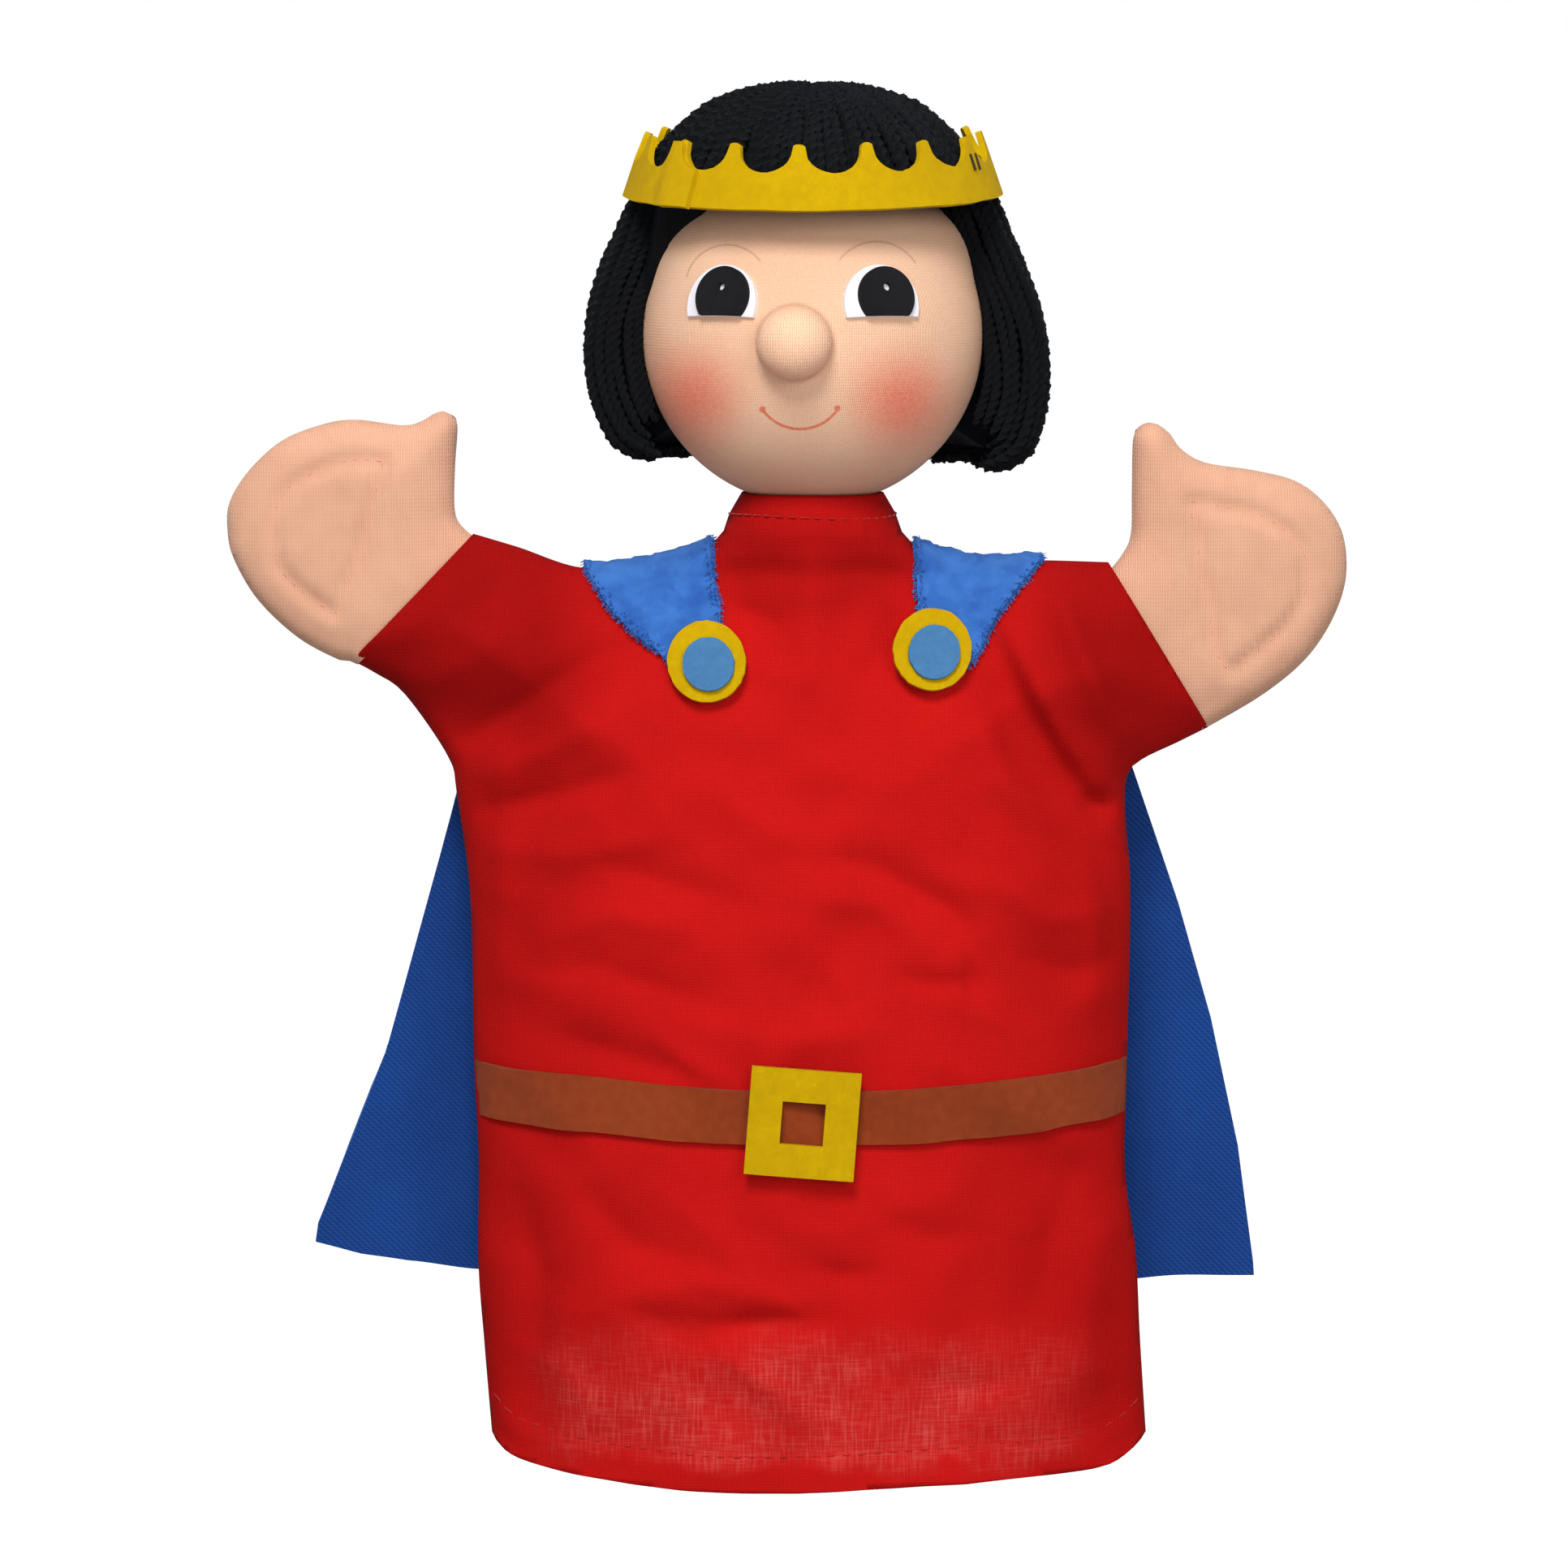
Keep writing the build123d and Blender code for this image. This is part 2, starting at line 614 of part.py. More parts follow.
for side, sign, inset, drop, armhole, out, up, wrist_width, aim, underarm in ARMS:
    shoulder = Vector(sign * (chest_width / 2 - inset), shoulder_height - drop)
    wrist = shoulder + Vector(sign * out, up)
    away = Vector(sign * cos(radians(aim)), sin(radians(aim)))
    along = Vector(-away.Y, away.X) * sign
    ends = (wrist + along * (wrist_width / 2), wrist - along * (wrist_width / 2))
    with BuildSketch(Plane.XZ) as sleeve_outline:
        with Locations((shoulder.X, shoulder.Y)):
            Circle(armhole)
        leaves = radians(underarm)
        under = shoulder + Vector(sign * armhole * cos(leaves), armhole * sin(leaves))
        with BuildLine():
            Polyline(*[(p.X, p.Y) for p in (shoulder, *ends, under)], close=True)
        make_face()
    with BuildSketch(Plane.XZ) as sleeve_inside:
        add(sleeve_outline.sketch)
        offset(amount=-cloth, mode=Mode.REPLACE)
    cuff = wrist - away * cuff_set_back
    cuff_plane = Plane(
        origin=(cuff.X, 0, cuff.Y), x_dir=(0, 1, 0), z_dir=(away.X, 0, away.Y)
    )
    inside_depth = sleeve_depth - 2 * cloth
    with BuildPart() as sleeve:
        add(slab(sleeve_outline.sketch, sleeve_depth))
        add(slab(sleeve_inside.sketch, inside_depth), mode=Mode.SUBTRACT)
        with Locations((shoulder.X - sign * big / 2, 0, shoulder.Y)):
            Box(big, inside_depth, 2 * armhole - 2 * cloth, mode=Mode.SUBTRACT)
        split(bisect_by=cuff_plane, keep=Keep.BOTTOM)
    for name, half in HALVES:
        write(kept_in(sleeve.part, half), f"sleeve_{name}_{side}")

    wrist_plane = Plane(
        origin=(wrist.X, 0, wrist.Y), x_dir=(away.X, 0, away.Y), z_dir=(0, -sign, 0)
    )
    palm, palm_reach, palm_rise, tip_out, tip_up = MITTENS[side]
    with BuildSketch(wrist_plane) as mitten:
        add(hand_outline(wrist_width, palm, palm_reach, palm_rise, tip_out, tip_up))
    with BuildSketch(wrist_plane) as mitten_inside:
        add(hand_outline(wrist_width, palm, palm_reach, palm_rise, tip_out, tip_up))
        offset(amount=-fleece, mode=Mode.REPLACE)
    root = wrist - away * hand_root
    root_plane = Plane(
        origin=(root.X, 0, root.Y), x_dir=(0, 1, 0), z_dir=(away.X, 0, away.Y)
    )
    pocket_depth = hand_depth - 2 * fleece
    with BuildPart() as hand:
        add(slab(mitten.sketch, hand_depth))
        add(slab(mitten_inside.sketch, pocket_depth), mode=Mode.SUBTRACT)
        split(bisect_by=root_plane, keep=Keep.TOP)
    for name, half in HALVES:
        write(kept_in(hand.part, half), f"hand_{name}_{side}")
    with BuildSketch(wrist_plane) as pad:
        add(wadding_outline(palm, palm_reach, palm_rise))
    write(slab(pad.sketch, pocket_depth - 2 * wadding_clear), f"hand_wadding_{side}")
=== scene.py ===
"""Glove puppet of a crowned prince: cloth, wool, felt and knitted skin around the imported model.

Every length in the classes is in millimetres, in the part's own frame: +Z up, the puppet faces -Y.
Meshes are scaled to metres when they are finished.
"""

from __future__ import annotations

import logging
import math
import random
from collections.abc import Callable, Iterable, Sequence
from dataclasses import dataclass, field
from enum import Enum

import bmesh
import bpy
import numpy as np
from mathutils import Euler, Matrix, Vector, noise


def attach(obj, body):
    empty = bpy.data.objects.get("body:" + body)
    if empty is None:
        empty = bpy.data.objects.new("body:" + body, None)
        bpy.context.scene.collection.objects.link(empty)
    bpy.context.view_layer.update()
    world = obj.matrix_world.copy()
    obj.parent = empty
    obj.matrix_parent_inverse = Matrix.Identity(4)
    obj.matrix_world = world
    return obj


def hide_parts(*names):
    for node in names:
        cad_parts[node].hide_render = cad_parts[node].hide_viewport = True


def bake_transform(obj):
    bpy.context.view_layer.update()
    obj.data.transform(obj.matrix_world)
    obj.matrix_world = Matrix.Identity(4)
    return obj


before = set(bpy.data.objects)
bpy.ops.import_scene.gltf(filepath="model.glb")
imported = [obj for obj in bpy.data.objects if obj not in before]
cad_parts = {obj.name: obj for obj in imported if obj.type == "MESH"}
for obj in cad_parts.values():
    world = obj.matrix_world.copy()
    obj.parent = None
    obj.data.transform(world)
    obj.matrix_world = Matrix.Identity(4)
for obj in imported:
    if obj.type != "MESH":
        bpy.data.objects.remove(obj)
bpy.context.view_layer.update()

log = logging.getLogger("puppet")
MM = 0.001
FRONT = -1
BACK = 1
SHARP = math.radians(62.0)
Point = tuple[float, float]
Socket = bpy.types.NodeSocket


# ---- Lines in the plane of the cloth ------------------------------------------------------------


def smooth_line(points: Sequence[Point], step: float = 2.0) -> list[Point]:
    """Runs a smooth curve through points.

    Args:
        points: The points that the curve goes through, end to end.
        step: Distance between points of the result.

    Returns:
        Points along the curve, with both ends.
    """
    ends = [points[0], *points, points[-1]]
    line: list[Point] = []
    for before, a, b, after in zip(ends, ends[1:], ends[2:], ends[3:]):
        p = [np.array(q, float) for q in (before, a, b, after)]
        count = max(1, round(float(np.linalg.norm(p[2] - p[1])) / step))
        for t in np.arange(count) / count:
            q = 0.5 * (
                2 * p[1]
                + (p[2] - p[0]) * t
                + (2 * p[0] - 5 * p[1] + 4 * p[2] - p[3]) * t**2
                + (3 * p[1] - p[0] - 3 * p[2] + p[3]) * t**3
            )
            line.append((float(q[0]), float(q[1])))
    line.append((float(points[-1][0]), float(points[-1][1])))
    return line


def along_line(line: Sequence[Point], pitch: float) -> list[tuple[Vector, Vector]]:
    """Walks a line in even steps.

    Args:
        line: Points of the line.
        pitch: Length of one step.

    Returns:
        A place and a direction for each step.
    """
    places: list[tuple[Vector, Vector]] = []
    left = 0.0
    for a, b in zip(line, line[1:]):
        start, run = Vector(a), Vector(b) - Vector(a)
        if run.length < 1e-9:
            continue
        at = left
        while at < run.length:
            places.append((start + run * (at / run.length), run.normalized()))
            at += pitch
        left = at - run.length
    return places


def reach_to(line: Sequence[Point], x: np.ndarray, z: np.ndarray) -> tuple[np.ndarray, np.ndarray]:
    """Measures how far points are from a line.

    Args:
        line: Points of the line.
        x: First coordinates of the points.
        z: Second coordinates of the points.

    Returns:
        The distance, and how far along the line the nearest place is, from 0 to 1.
    """
    corners = np.array(line, float)
    runs = np.linalg.norm(np.diff(corners, axis=0), axis=1)
    best = np.full(x.shape, 1e9)
    share = np.zeros(x.shape)
    walked = 0.0
    for (ax, az), (bx, bz), run in zip(corners, corners[1:], runs):
        t = ((x - ax) * (bx - ax) + (z - az) * (bz - az)) / max(run**2, 1e-12)
        t = np.clip(t, 0, 1)
        off = np.hypot(x - ax - t * (bx - ax), z - az - t * (bz - az))
        nearer = off < best
        best = np.where(nearer, off, best)
        share = np.where(nearer, (walked + t * run) / runs.sum(), share)
        walked += run
    return best, share


def eased(share: np.ndarray | float) -> np.ndarray | float:
    """A share from 0 to 1 with soft ends."""
    return share * share * (3 - 2 * share)


def noise_at(x: Iterable[float], y: Iterable[float], seed: float) -> np.ndarray:
    """Smooth noise at points, in a plane of its own for each seed."""
    return np.array([noise.noise(Vector((a, b, seed))) for a, b in zip(x, y)])


def lathe(profile: Sequence[Point], steps: int) -> bmesh.types.BMesh:
    """Turns a line about the Z axis.

    Args:
        profile: Distance from the axis and height of each point.
        steps: Number of steps round.

    Returns:
        The surface, still open where the line ends off the axis.
    """
    bm = bmesh.new()
    verts = [bm.verts.new((x, 0.0, z)) for x, z in profile]
    edges = [bm.edges.new(pair) for pair in zip(verts, verts[1:])]
    bmesh.ops.spin(
        bm,
        geom=verts + edges,
        cent=(0, 0, 0),
        axis=(0, 0, 1),
        angle=math.tau,
        steps=steps,
        use_merge=True,
    )
    return bm


# ---- Materials ----------------------------------------------------------------------------------


def tint(red: int, green: int, blue: int) -> tuple[float, float, float, float]:
    """Turns a screen colour, 0 to 255, into the linear colour that a shader takes."""
    linear = [
        c / 12.92 if c <= 0.04045 else ((c + 0.055) / 1.055) ** 2.4
        for c in (red / 255, green / 255, blue / 255)
    ]
    return (linear[0], linear[1], linear[2], 1.0)


class Graph:
    """Adds nodes to a shader tree and joins them."""

    def __init__(self, tree: bpy.types.NodeTree) -> None:
        """Keeps the tree that nodes are added to."""
        self.tree = tree

    def add(self, kind: str, **settings: object) -> bpy.types.Node:
        """Adds a node.

        Args:
            kind: The node's type.
            **settings: Properties to set on it.

        Returns:
            The node.
        """
        node = self.tree.nodes.new(kind)
        for name, value in settings.items():
            setattr(node, name, value)
        return node

    def feed(self, socket: Socket, value: object) -> None:
        """Joins a socket to an input, or sets the input to a value."""
        if isinstance(value, bpy.types.NodeSocket):
            self.tree.links.new(value, socket)
        elif value is not None:
            socket.default_value = value

    def math(self, operation: str, *values: object, clamp: bool = False) -> Socket:
        """Adds a Math node and returns its result."""
        node = self.add("ShaderNodeMath", operation=operation, use_clamp=clamp)
        for socket, value in zip(node.inputs, values):
            self.feed(socket, value)
        return node.outputs[0]

    def times(self, *values: object, clamp: bool = False) -> Socket:
        """Multiplies values and returns the product."""
        product = values[0]
        for value in values[1:]:
            product = self.math("MULTIPLY", product, value, clamp=clamp)
        return product

    def plus(self, *values: object, clamp: bool = False) -> Socket:
        """Adds values and returns the sum."""
        total = values[0]
        for value in values[1:]:
            total = self.math("ADD", total, value, clamp=clamp)
        return total

    def vector_math(self, operation: str, *values: object) -> bpy.types.Node:
        """Adds a Vector Math node."""
        node = self.add("ShaderNodeVectorMath", operation=operation)
        for socket, value in zip(node.inputs, values):
            self.feed(socket, value)
        return node

    def mix(self, factor: object, first: object, second: object) -> Socket:
        """Mixes two colours and returns the result."""
        node = self.add("ShaderNodeMix", data_type="RGBA")
        self.feed(node.inputs[0], factor)
        self.feed(node.inputs[6], first)
        self.feed(node.inputs[7], second)
        return node.outputs[2]

    def ramp(self, value: object, low: float, high: float, to: Point = (0.0, 1.0)) -> Socket:
        """Maps a value between two limits to another range, smoothly and clamped."""
        node = self.add("ShaderNodeMapRange", interpolation_type="SMOOTHSTEP")
        for socket, item in zip(node.inputs, (value, low, high, *to)):
            self.feed(socket, item)
        return node.outputs[0]

    def noise(
        self, place: object, scale: object, detail: float = 2.0, rough: float = 0.5
    ) -> Socket:
        """Adds a Noise texture and returns its value."""
        node = self.add("ShaderNodeTexNoise")
        self.feed(node.inputs["Vector"], place)
        self.feed(node.inputs["Scale"], scale)
        self.feed(node.inputs["Detail"], detail)
        self.feed(node.inputs["Roughness"], rough)
        return node.outputs["Fac"]

    def split(self, vector: object) -> list[Socket]:
        """Returns the three parts of a vector."""
        node = self.add("ShaderNodeSeparateXYZ")
        self.feed(node.inputs[0], vector)
        return list(node.outputs)

    def join(self, x: object, y: object, z: object = 0.0) -> Socket:
        """Makes a vector of three parts."""
        node = self.add("ShaderNodeCombineXYZ")
        for socket, value in zip(node.inputs, (x, y, z)):
            self.feed(socket, value)
        return node.outputs[0]

    def stretch(self, vector: object, by: tuple[float, float, float], turn: float = 0.0) -> Socket:
        """Scales a vector, and turns it about Z by degrees."""
        node = self.add("ShaderNodeMapping")
        self.feed(node.inputs["Vector"], vector)
        node.inputs["Rotation"].default_value = (0, 0, math.radians(turn))
        node.inputs["Scale"].default_value = by
        return node.outputs[0]


def new_group(
    name: str, takes: Sequence[tuple[str, str, float]], gives: Sequence[str]
) -> tuple[Graph, bpy.types.Node, bpy.types.Node]:
    """Starts a shader node group with named sockets.

    Args:
        name: The group's name.
        takes: Name, socket type and default value of each input.
        gives: Names of its outputs, all values.

    Returns:
        The graph inside the group, its input node and its output node.
    """
    tree = bpy.data.node_groups.new(name, "ShaderNodeTree")
    for title, kind, value in takes:
        socket = tree.interface.new_socket(title, in_out="INPUT", socket_type=kind)
        if kind == "NodeSocketFloat":
            socket.default_value = value
    for title in gives:
        tree.interface.new_socket(title, in_out="OUTPUT", socket_type="NodeSocketFloat")
    graph = Graph(tree)
    return graph, graph.add("NodeGroupInput"), graph.add("NodeGroupOutput")


def weave_group() -> bpy.types.NodeTree:
    """Plain or twill weave: each thread is a rounded ridge that goes over and under."""
    takes = [
        ("Vector", "NodeSocketVector", 0.0),
        ("Threads", "NodeSocketFloat", 2500.0),
        ("Twill", "NodeSocketFloat", 0.0),
        ("Slub", "NodeSocketFloat", 0.15),
    ]
    g, taken, given = new_group("weave", takes, ("Height", "Shade"))
    wander = g.noise(taken.outputs["Vector"], 260.0, 2.0)
    shift = g.times(g.math("SUBTRACT", wander, 0.5), taken.outputs["Slub"])
    u, v, _ = g.split(taken.outputs["Vector"])
    turns = g.times(taken.outputs["Threads"], math.pi)
    across = g.plus(g.times(u, turns), shift)
    up = g.plus(g.times(v, turns), shift)
    warp = g.math("ABSOLUTE", g.math("SINE", across))
    weft = g.math("ABSOLUTE", g.math("SINE", up))
    checks = g.times(g.math("SINE", across), g.math("SINE", up))
    over = g.ramp(checks, -0.35, 0.35)
    under = g.math("SUBTRACT", 1.0, over)
    plain = g.plus(g.times(warp, over), g.times(weft, under))
    diagonal = g.plus(g.times(across, 0.5), g.times(up, 0.5))
    rib = g.math("ABSOLUTE", g.math("SINE", diagonal))
    cords = g.plus(g.times(rib, 0.75), g.times(weft, 0.25))
    mixed = g.add("ShaderNodeMix", data_type="FLOAT")
    for socket, value in zip(mixed.inputs, (taken.outputs["Twill"], None, None)):
        g.feed(socket, value)
    g.feed(mixed.inputs[2], plain)
    g.feed(mixed.inputs[3], cords)
    g.feed(given.inputs["Height"], mixed.outputs[0])
    streak = g.noise(g.stretch(taken.outputs["Vector"], (1.0, 9.0, 1.0)), 420.0, 2.0)
    cross = g.noise(g.stretch(taken.outputs["Vector"], (9.0, 1.0, 1.0)), 420.0, 2.0)
    g.feed(given.inputs["Shade"], g.times(g.plus(streak, cross), 0.5))
    return g.tree


def fibre_group() -> bpy.types.NodeTree:
    """Matted fibres of felt, fleece and wool: a coarse cloud and fine crossing hairs."""
    takes = [("Vector", "NodeSocketVector", 0.0), ("Scale", "NodeSocketFloat", 900.0)]
    g, taken, given = new_group("fibres", takes, ("Height", "Shade"))
    place, scale = taken.outputs["Vector"], taken.outputs["Scale"]
    bend = g.noise(place, g.times(scale, 0.35), 1.0)
    bent = g.vector_math("ADD", place, g.join(g.times(bend, 0.002), 0.0, bend)).outputs[0]
    hairs = [
        g.noise(g.stretch(bent, by, turn), scale, 3.0, 0.6)
        for by, turn in (((1, 5, 5), 25.0), ((5, 1, 5), -20.0), ((4, 4, 1), 50.0))
    ]
    finest = g.math("MAXIMUM", g.math("MAXIMUM", hairs[0], hairs[1]), hairs[2])
    cloud = g.noise(place, g.times(scale, 0.5), 3.0)
    g.feed(given.inputs["Height"], g.plus(g.times(finest, 0.7), g.times(cloud, 0.3)))
    g.feed(given.inputs["Shade"], g.plus(g.times(cloud, 0.4), g.times(finest, 0.6)))
    return g.tree


def knit_group() -> bpy.types.NodeTree:
    """Stocking stitch: V-shaped loops in columns, for cloth laid out in loops across and up."""
    takes = [
        ("Vector", "NodeSocketVector", 0.0),
        ("Columns", "NodeSocketFloat", 1.0),
        ("Rows", "NodeSocketFloat", 1.0),
    ]
    g, taken, given = new_group("knit", takes, ("Height", "Shade"))
    u, v, _ = g.split(taken.outputs["Vector"])
    column = g.times(u, taken.outputs["Columns"])
    fold = g.math("PINGPONG", column, 0.5)
    row = g.plus(g.times(v, taken.outputs["Rows"]), fold)
    loop = g.math("ABSOLUTE", g.math("SINE", g.times(row, math.pi)))
    rib = g.math("SINE", g.times(g.times(fold, 2.0), math.pi))
    g.feed(given.inputs["Height"], g.plus(g.times(rib, 0.7), g.times(loop, 0.3)))
    fuzz = g.noise(taken.outputs["Vector"], 220.0, 3.0)
    g.feed(given.inputs["Shade"], g.plus(g.times(fuzz, 0.5), 0.25))
    return g.tree


class Surface(Enum):
    """What a finish's fine structure is."""

    WEAVE = "weave"
    FIBRES = "fibres"
    KNIT = "knit"


GROUPS: dict[Surface, bpy.types.NodeTree] = {}


def surface_group(surface: Surface) -> bpy.types.NodeTree:
    """The node group for a fine structure, made the first time that it is asked for."""
    if surface not in GROUPS:
        makers = {Surface.WEAVE: weave_group, Surface.FIBRES: fibre_group, Surface.KNIT: knit_group}
        GROUPS[surface] = makers[surface]()
    return GROUPS[surface]


@dataclass(frozen=True)
class Finish:
    """A cloth, felt, wool or card surface.

    Attributes:
        name: The material's name.
        light: Colour of the threads that stand up.
        dark: Colour between them.
        surface: The fine structure.
        sizes: Values for the group's own inputs.
        depth: Height of the fine structure in millimetres.
        rough: Roughness.
        sheen: Weight of the cloth sheen.
        sheen_tint: Colour of the sheen.
        on_uv: Whether the pattern follows the piece's UV map and not its place.
        blotch: How much the colour drifts over the piece.
        gloss: Specular level.
        blotch_scale: Noise scale of that drift.
    """

    name: str
    light: tuple[float, float, float, float]
    dark: tuple[float, float, float, float]
    surface: Surface = Surface.FIBRES
    sizes: tuple[tuple[str, float], ...] = ()
    depth: float = 0.15
    rough: float = 0.9
    sheen: float = 0.3
    sheen_tint: tuple[float, float, float, float] = (1.0, 1.0, 1.0, 1.0)
    on_uv: bool = False
    blotch: float = 0.25
    gloss: float = 0.1
    blotch_scale: float = 45.0

    def material(self) -> bpy.types.Material:
        """The finish as a material, made once."""
        made = bpy.data.materials.get(f"finish_{self.name}")
        if made:
            return made
        made = bpy.data.materials.new(f"finish_{self.name}")
        made.use_nodes = True
        made.diffuse_color = self.light
        g = Graph(made.node_tree)
        shader = made.node_tree.nodes["Principled BSDF"]
        coords = g.add("ShaderNodeTexCoord")
        place = coords.outputs["UV" if self.on_uv else "Object"]
        fine = g.add("ShaderNodeGroup", node_tree=surface_group(self.surface))
        g.feed(fine.inputs["Vector"], place)
        for name, value in self.sizes:
            fine.inputs[name].default_value = value
        drift = g.ramp(g.noise(coords.outputs["Object"], self.blotch_scale, 3.0), 0.3, 0.7)
        shade = g.times(fine.outputs["Height"], 0.55)
        shade = g.plus(shade, g.times(fine.outputs["Shade"], 0.6))
        drifted = g.times(g.math("SUBTRACT", drift, 0.5), self.blotch)
        colour = g.mix(g.plus(shade, drifted, clamp=True), self.dark, self.light)
        colour = self.painted(g, coords, colour)
        g.feed(shader.inputs["Base Color"], colour)
        shader.inputs["Roughness"].default_value = self.rough
        shader.inputs["Specular IOR Level"].default_value = self.gloss
        shader.inputs["Sheen Weight"].default_value = self.sheen
        shader.inputs["Sheen Roughness"].default_value = 0.45
        shader.inputs["Sheen Tint"].default_value = self.sheen_tint
        bump = g.add("ShaderNodeBump")
        bump.inputs["Distance"].default_value = self.depth * MM
        g.feed(bump.inputs["Height"], fine.outputs["Height"])
        g.feed(shader.inputs["Normal"], bump.outputs[0])
        return made

    def painted(self, g: Graph, coords: bpy.types.Node, colour: Socket) -> Socket:
        """Adds colour on top of the threads. The plain finish adds none."""
        return colour


@dataclass(frozen=True)
class GownFinish(Finish):
    """Red cotton that wears thin and lets its pale backing show above the hem, with painted shade
    on the shoulders, sleeves, yoke and sides.
    """

    thin_low: float = 9.0
    thin_high: float = 34.0
    thin_width: float = 64.0
    # How strong the painted shade on the shoulders, sleeves, yoke and sides is.
    painted_shade: float = 0.72

    def painted(self, g: Graph, coords: bpy.types.Node, colour: Socket) -> Socket:
        """Lightens the cloth above the hem, and darkens it with painted shade on the shoulders,
        sleeves, yoke and sides.
        """
        x, _, z = g.split(coords.outputs["Object"])
        ragged = g.times(g.noise(coords.outputs["Object"], 70.0, 4.0), 16 * MM)
        height = g.plus(z, ragged)
        low = g.ramp(height, (self.thin_low + 7) * MM, (self.thin_low + 13) * MM)
        high = g.ramp(height, (self.thin_high + 2) * MM, (self.thin_high + 16) * MM, (1.0, 0.0))
        out = g.math("ABSOLUTE", x)
        side = g.ramp(out, (self.thin_width - 20) * MM, self.thin_width * MM, (1.0, 0.0))
        threads = g.noise(g.stretch(coords.outputs["UV"], (1.0, 0.07, 1.0)), 2100.0, 2.0)
        picks = g.noise(g.stretch(coords.outputs["UV"], (0.07, 1.0, 1.0)), 2100.0, 2.0)
        lines = g.plus(g.ramp(threads, 0.42, 0.72), g.times(g.ramp(picks, 0.42, 0.72), 0.7))
        patches = g.ramp(g.noise(coords.outputs["Object"], 60.0, 3.0), 0.36, 0.66, (0.14, 0.36))
        worn = g.times(low, high, side, g.plus(lines, 0.18))
        worn = g.times(worn, patches, clamp=True)
        # Painted shade: the sleeves, the yoke under the collar and the sides turn a darker red,
        # standing in for the shade that falls there.
        wide = g.ramp(out, 34 * MM, 60 * MM)
        sleeve = g.times(wide, g.ramp(z, 150 * MM, 176 * MM))
        yoke = g.ramp(z, 184 * MM, 200 * MM, (0.0, 0.5))
        edge = g.ramp(out, 22 * MM, 68 * MM, (0.0, 0.42))
        painted_shade = g.math("MAXIMUM", g.math("MAXIMUM", sleeve, yoke), edge)
        painted_shade = g.times(painted_shade, self.painted_shade)
        # The painted shade's colour: the cloth's own colour darkened.
        shaded_red = g.vector_math("MULTIPLY", colour, (0.42, 0.3, 0.32)).outputs[0]
        return g.mix(worn, g.mix(painted_shade, colour, shaded_red), tint(214, 92, 86))


@dataclass(frozen=True)
class Blush:
    """A soft round patch of colour on the face: its middle seen from the front, and its radius."""

    x: float
    z: float
    radius: float


@dataclass(frozen=True)
class PencilLine:
    """A drawn arc on the face: a circle seen from the front, kept between two heights and sides."""

    x: float
    z: float
    radius: float
    width: float
    low: float
    high: float
    left: float
    right: float
    strength: float
    colour: tuple[float, float, float, float]


@dataclass(frozen=True)
class SkinFinish(Finish):
    """Knitted stocking with blush, brows and a mouth."""

    blushes: tuple[Blush, ...] = ()
    lines: tuple[PencilLine, ...] = ()
    blush_colour: tuple[float, float, float, float] = tint(238, 92, 70)

    @staticmethod
    def from_point(g: Graph, flat: Socket, mark: Blush | PencilLine) -> Socket:
        """Distance from a mark's middle, seen from the front."""
        node = g.vector_math("DISTANCE", flat, (mark.x * MM, mark.z * MM, 0.0))
        return node.outputs["Value"]

    def painted(self, g: Graph, coords: bpy.types.Node, colour: Socket) -> Socket:
        """Lays blush and pencil on the front of the face."""
        x, y, z = g.split(coords.outputs["Object"])
        front = g.ramp(y, -8 * MM, -2 * MM, (1.0, 0.0))
        flat = g.join(x, z)
        grain = g.ramp(g.noise(coords.outputs["Object"], 1400.0, 2.0), 0.25, 0.7, (0.7, 1.0))
        for patch in self.blushes:
            away = self.from_point(g, flat, patch)
            mask = g.ramp(away, 0.0, patch.radius * MM, (0.74, 0.0))
            mask = g.times(mask, front, grain)
            colour = g.mix(mask, colour, self.blush_colour)
        for line in self.lines:
            away = self.from_point(g, flat, line)
            off = g.math("ABSOLUTE", g.math("SUBTRACT", away, line.radius * MM))
            mask = g.ramp(off, 0.35 * line.width * MM, line.width * MM, (line.strength, 0.0))
            for value, limit, inside in (
                (z, line.low, (0.0, 1.0)),
                (z, line.high, (1.0, 0.0)),
                (x, line.left, (0.0, 1.0)),
                (x, line.right, (1.0, 0.0)),
            ):
                ends = g.ramp(value, (limit - 0.5) * MM, (limit + 0.5) * MM, inside)
                mask = g.times(mask, ends)
            mask = g.times(mask, front, grain)
            colour = g.mix(mask, colour, line.colour)
        return colour


COTTON = GownFinish(
    "gown_cotton",
    tint(204, 24, 22),
    tint(146, 8, 9),
    Surface.WEAVE,
    (("Threads", 2300.0), ("Slub", 0.5)),
    depth=0.06,
    rough=0.85,
    sheen=0.0,
    on_uv=True,
    blotch=0.16,
    gloss=0.04,
)
BROWN_FELT = Finish(
    "belt_felt", tint(182, 78, 34), tint(90, 26, 6), depth=0.3, sheen=0.05, blotch=0.12
)
YELLOW_FELT = Finish(
    "yellow_felt", tint(240, 198, 2), tint(176, 132, 0), depth=0.3, sheen=0.0, blotch=0.12
)
BLUE_FELT = Finish(
    "blue_felt", tint(92, 154, 206), tint(36, 88, 146), depth=0.3, sheen=0.08, blotch=0.12
)
WHITE_FELT = Finish("eye_white_felt", tint(250, 246, 252), tint(224, 218, 228), depth=0.12)
BLACK_FELT = Finish("pupil_felt", tint(34, 34, 38), tint(5, 5, 6), depth=0.3, sheen=0.03)
PLUSH = Finish(
    "blue_plush",
    tint(72, 138, 230),
    tint(26, 78, 178),
    Surface.FIBRES,
    (("Scale", 700.0),),
    depth=0.4,
    rough=0.75,
    sheen=0.35,
    sheen_tint=tint(130, 185, 255),
    blotch=0.5,
    blotch_scale=190.0,
)
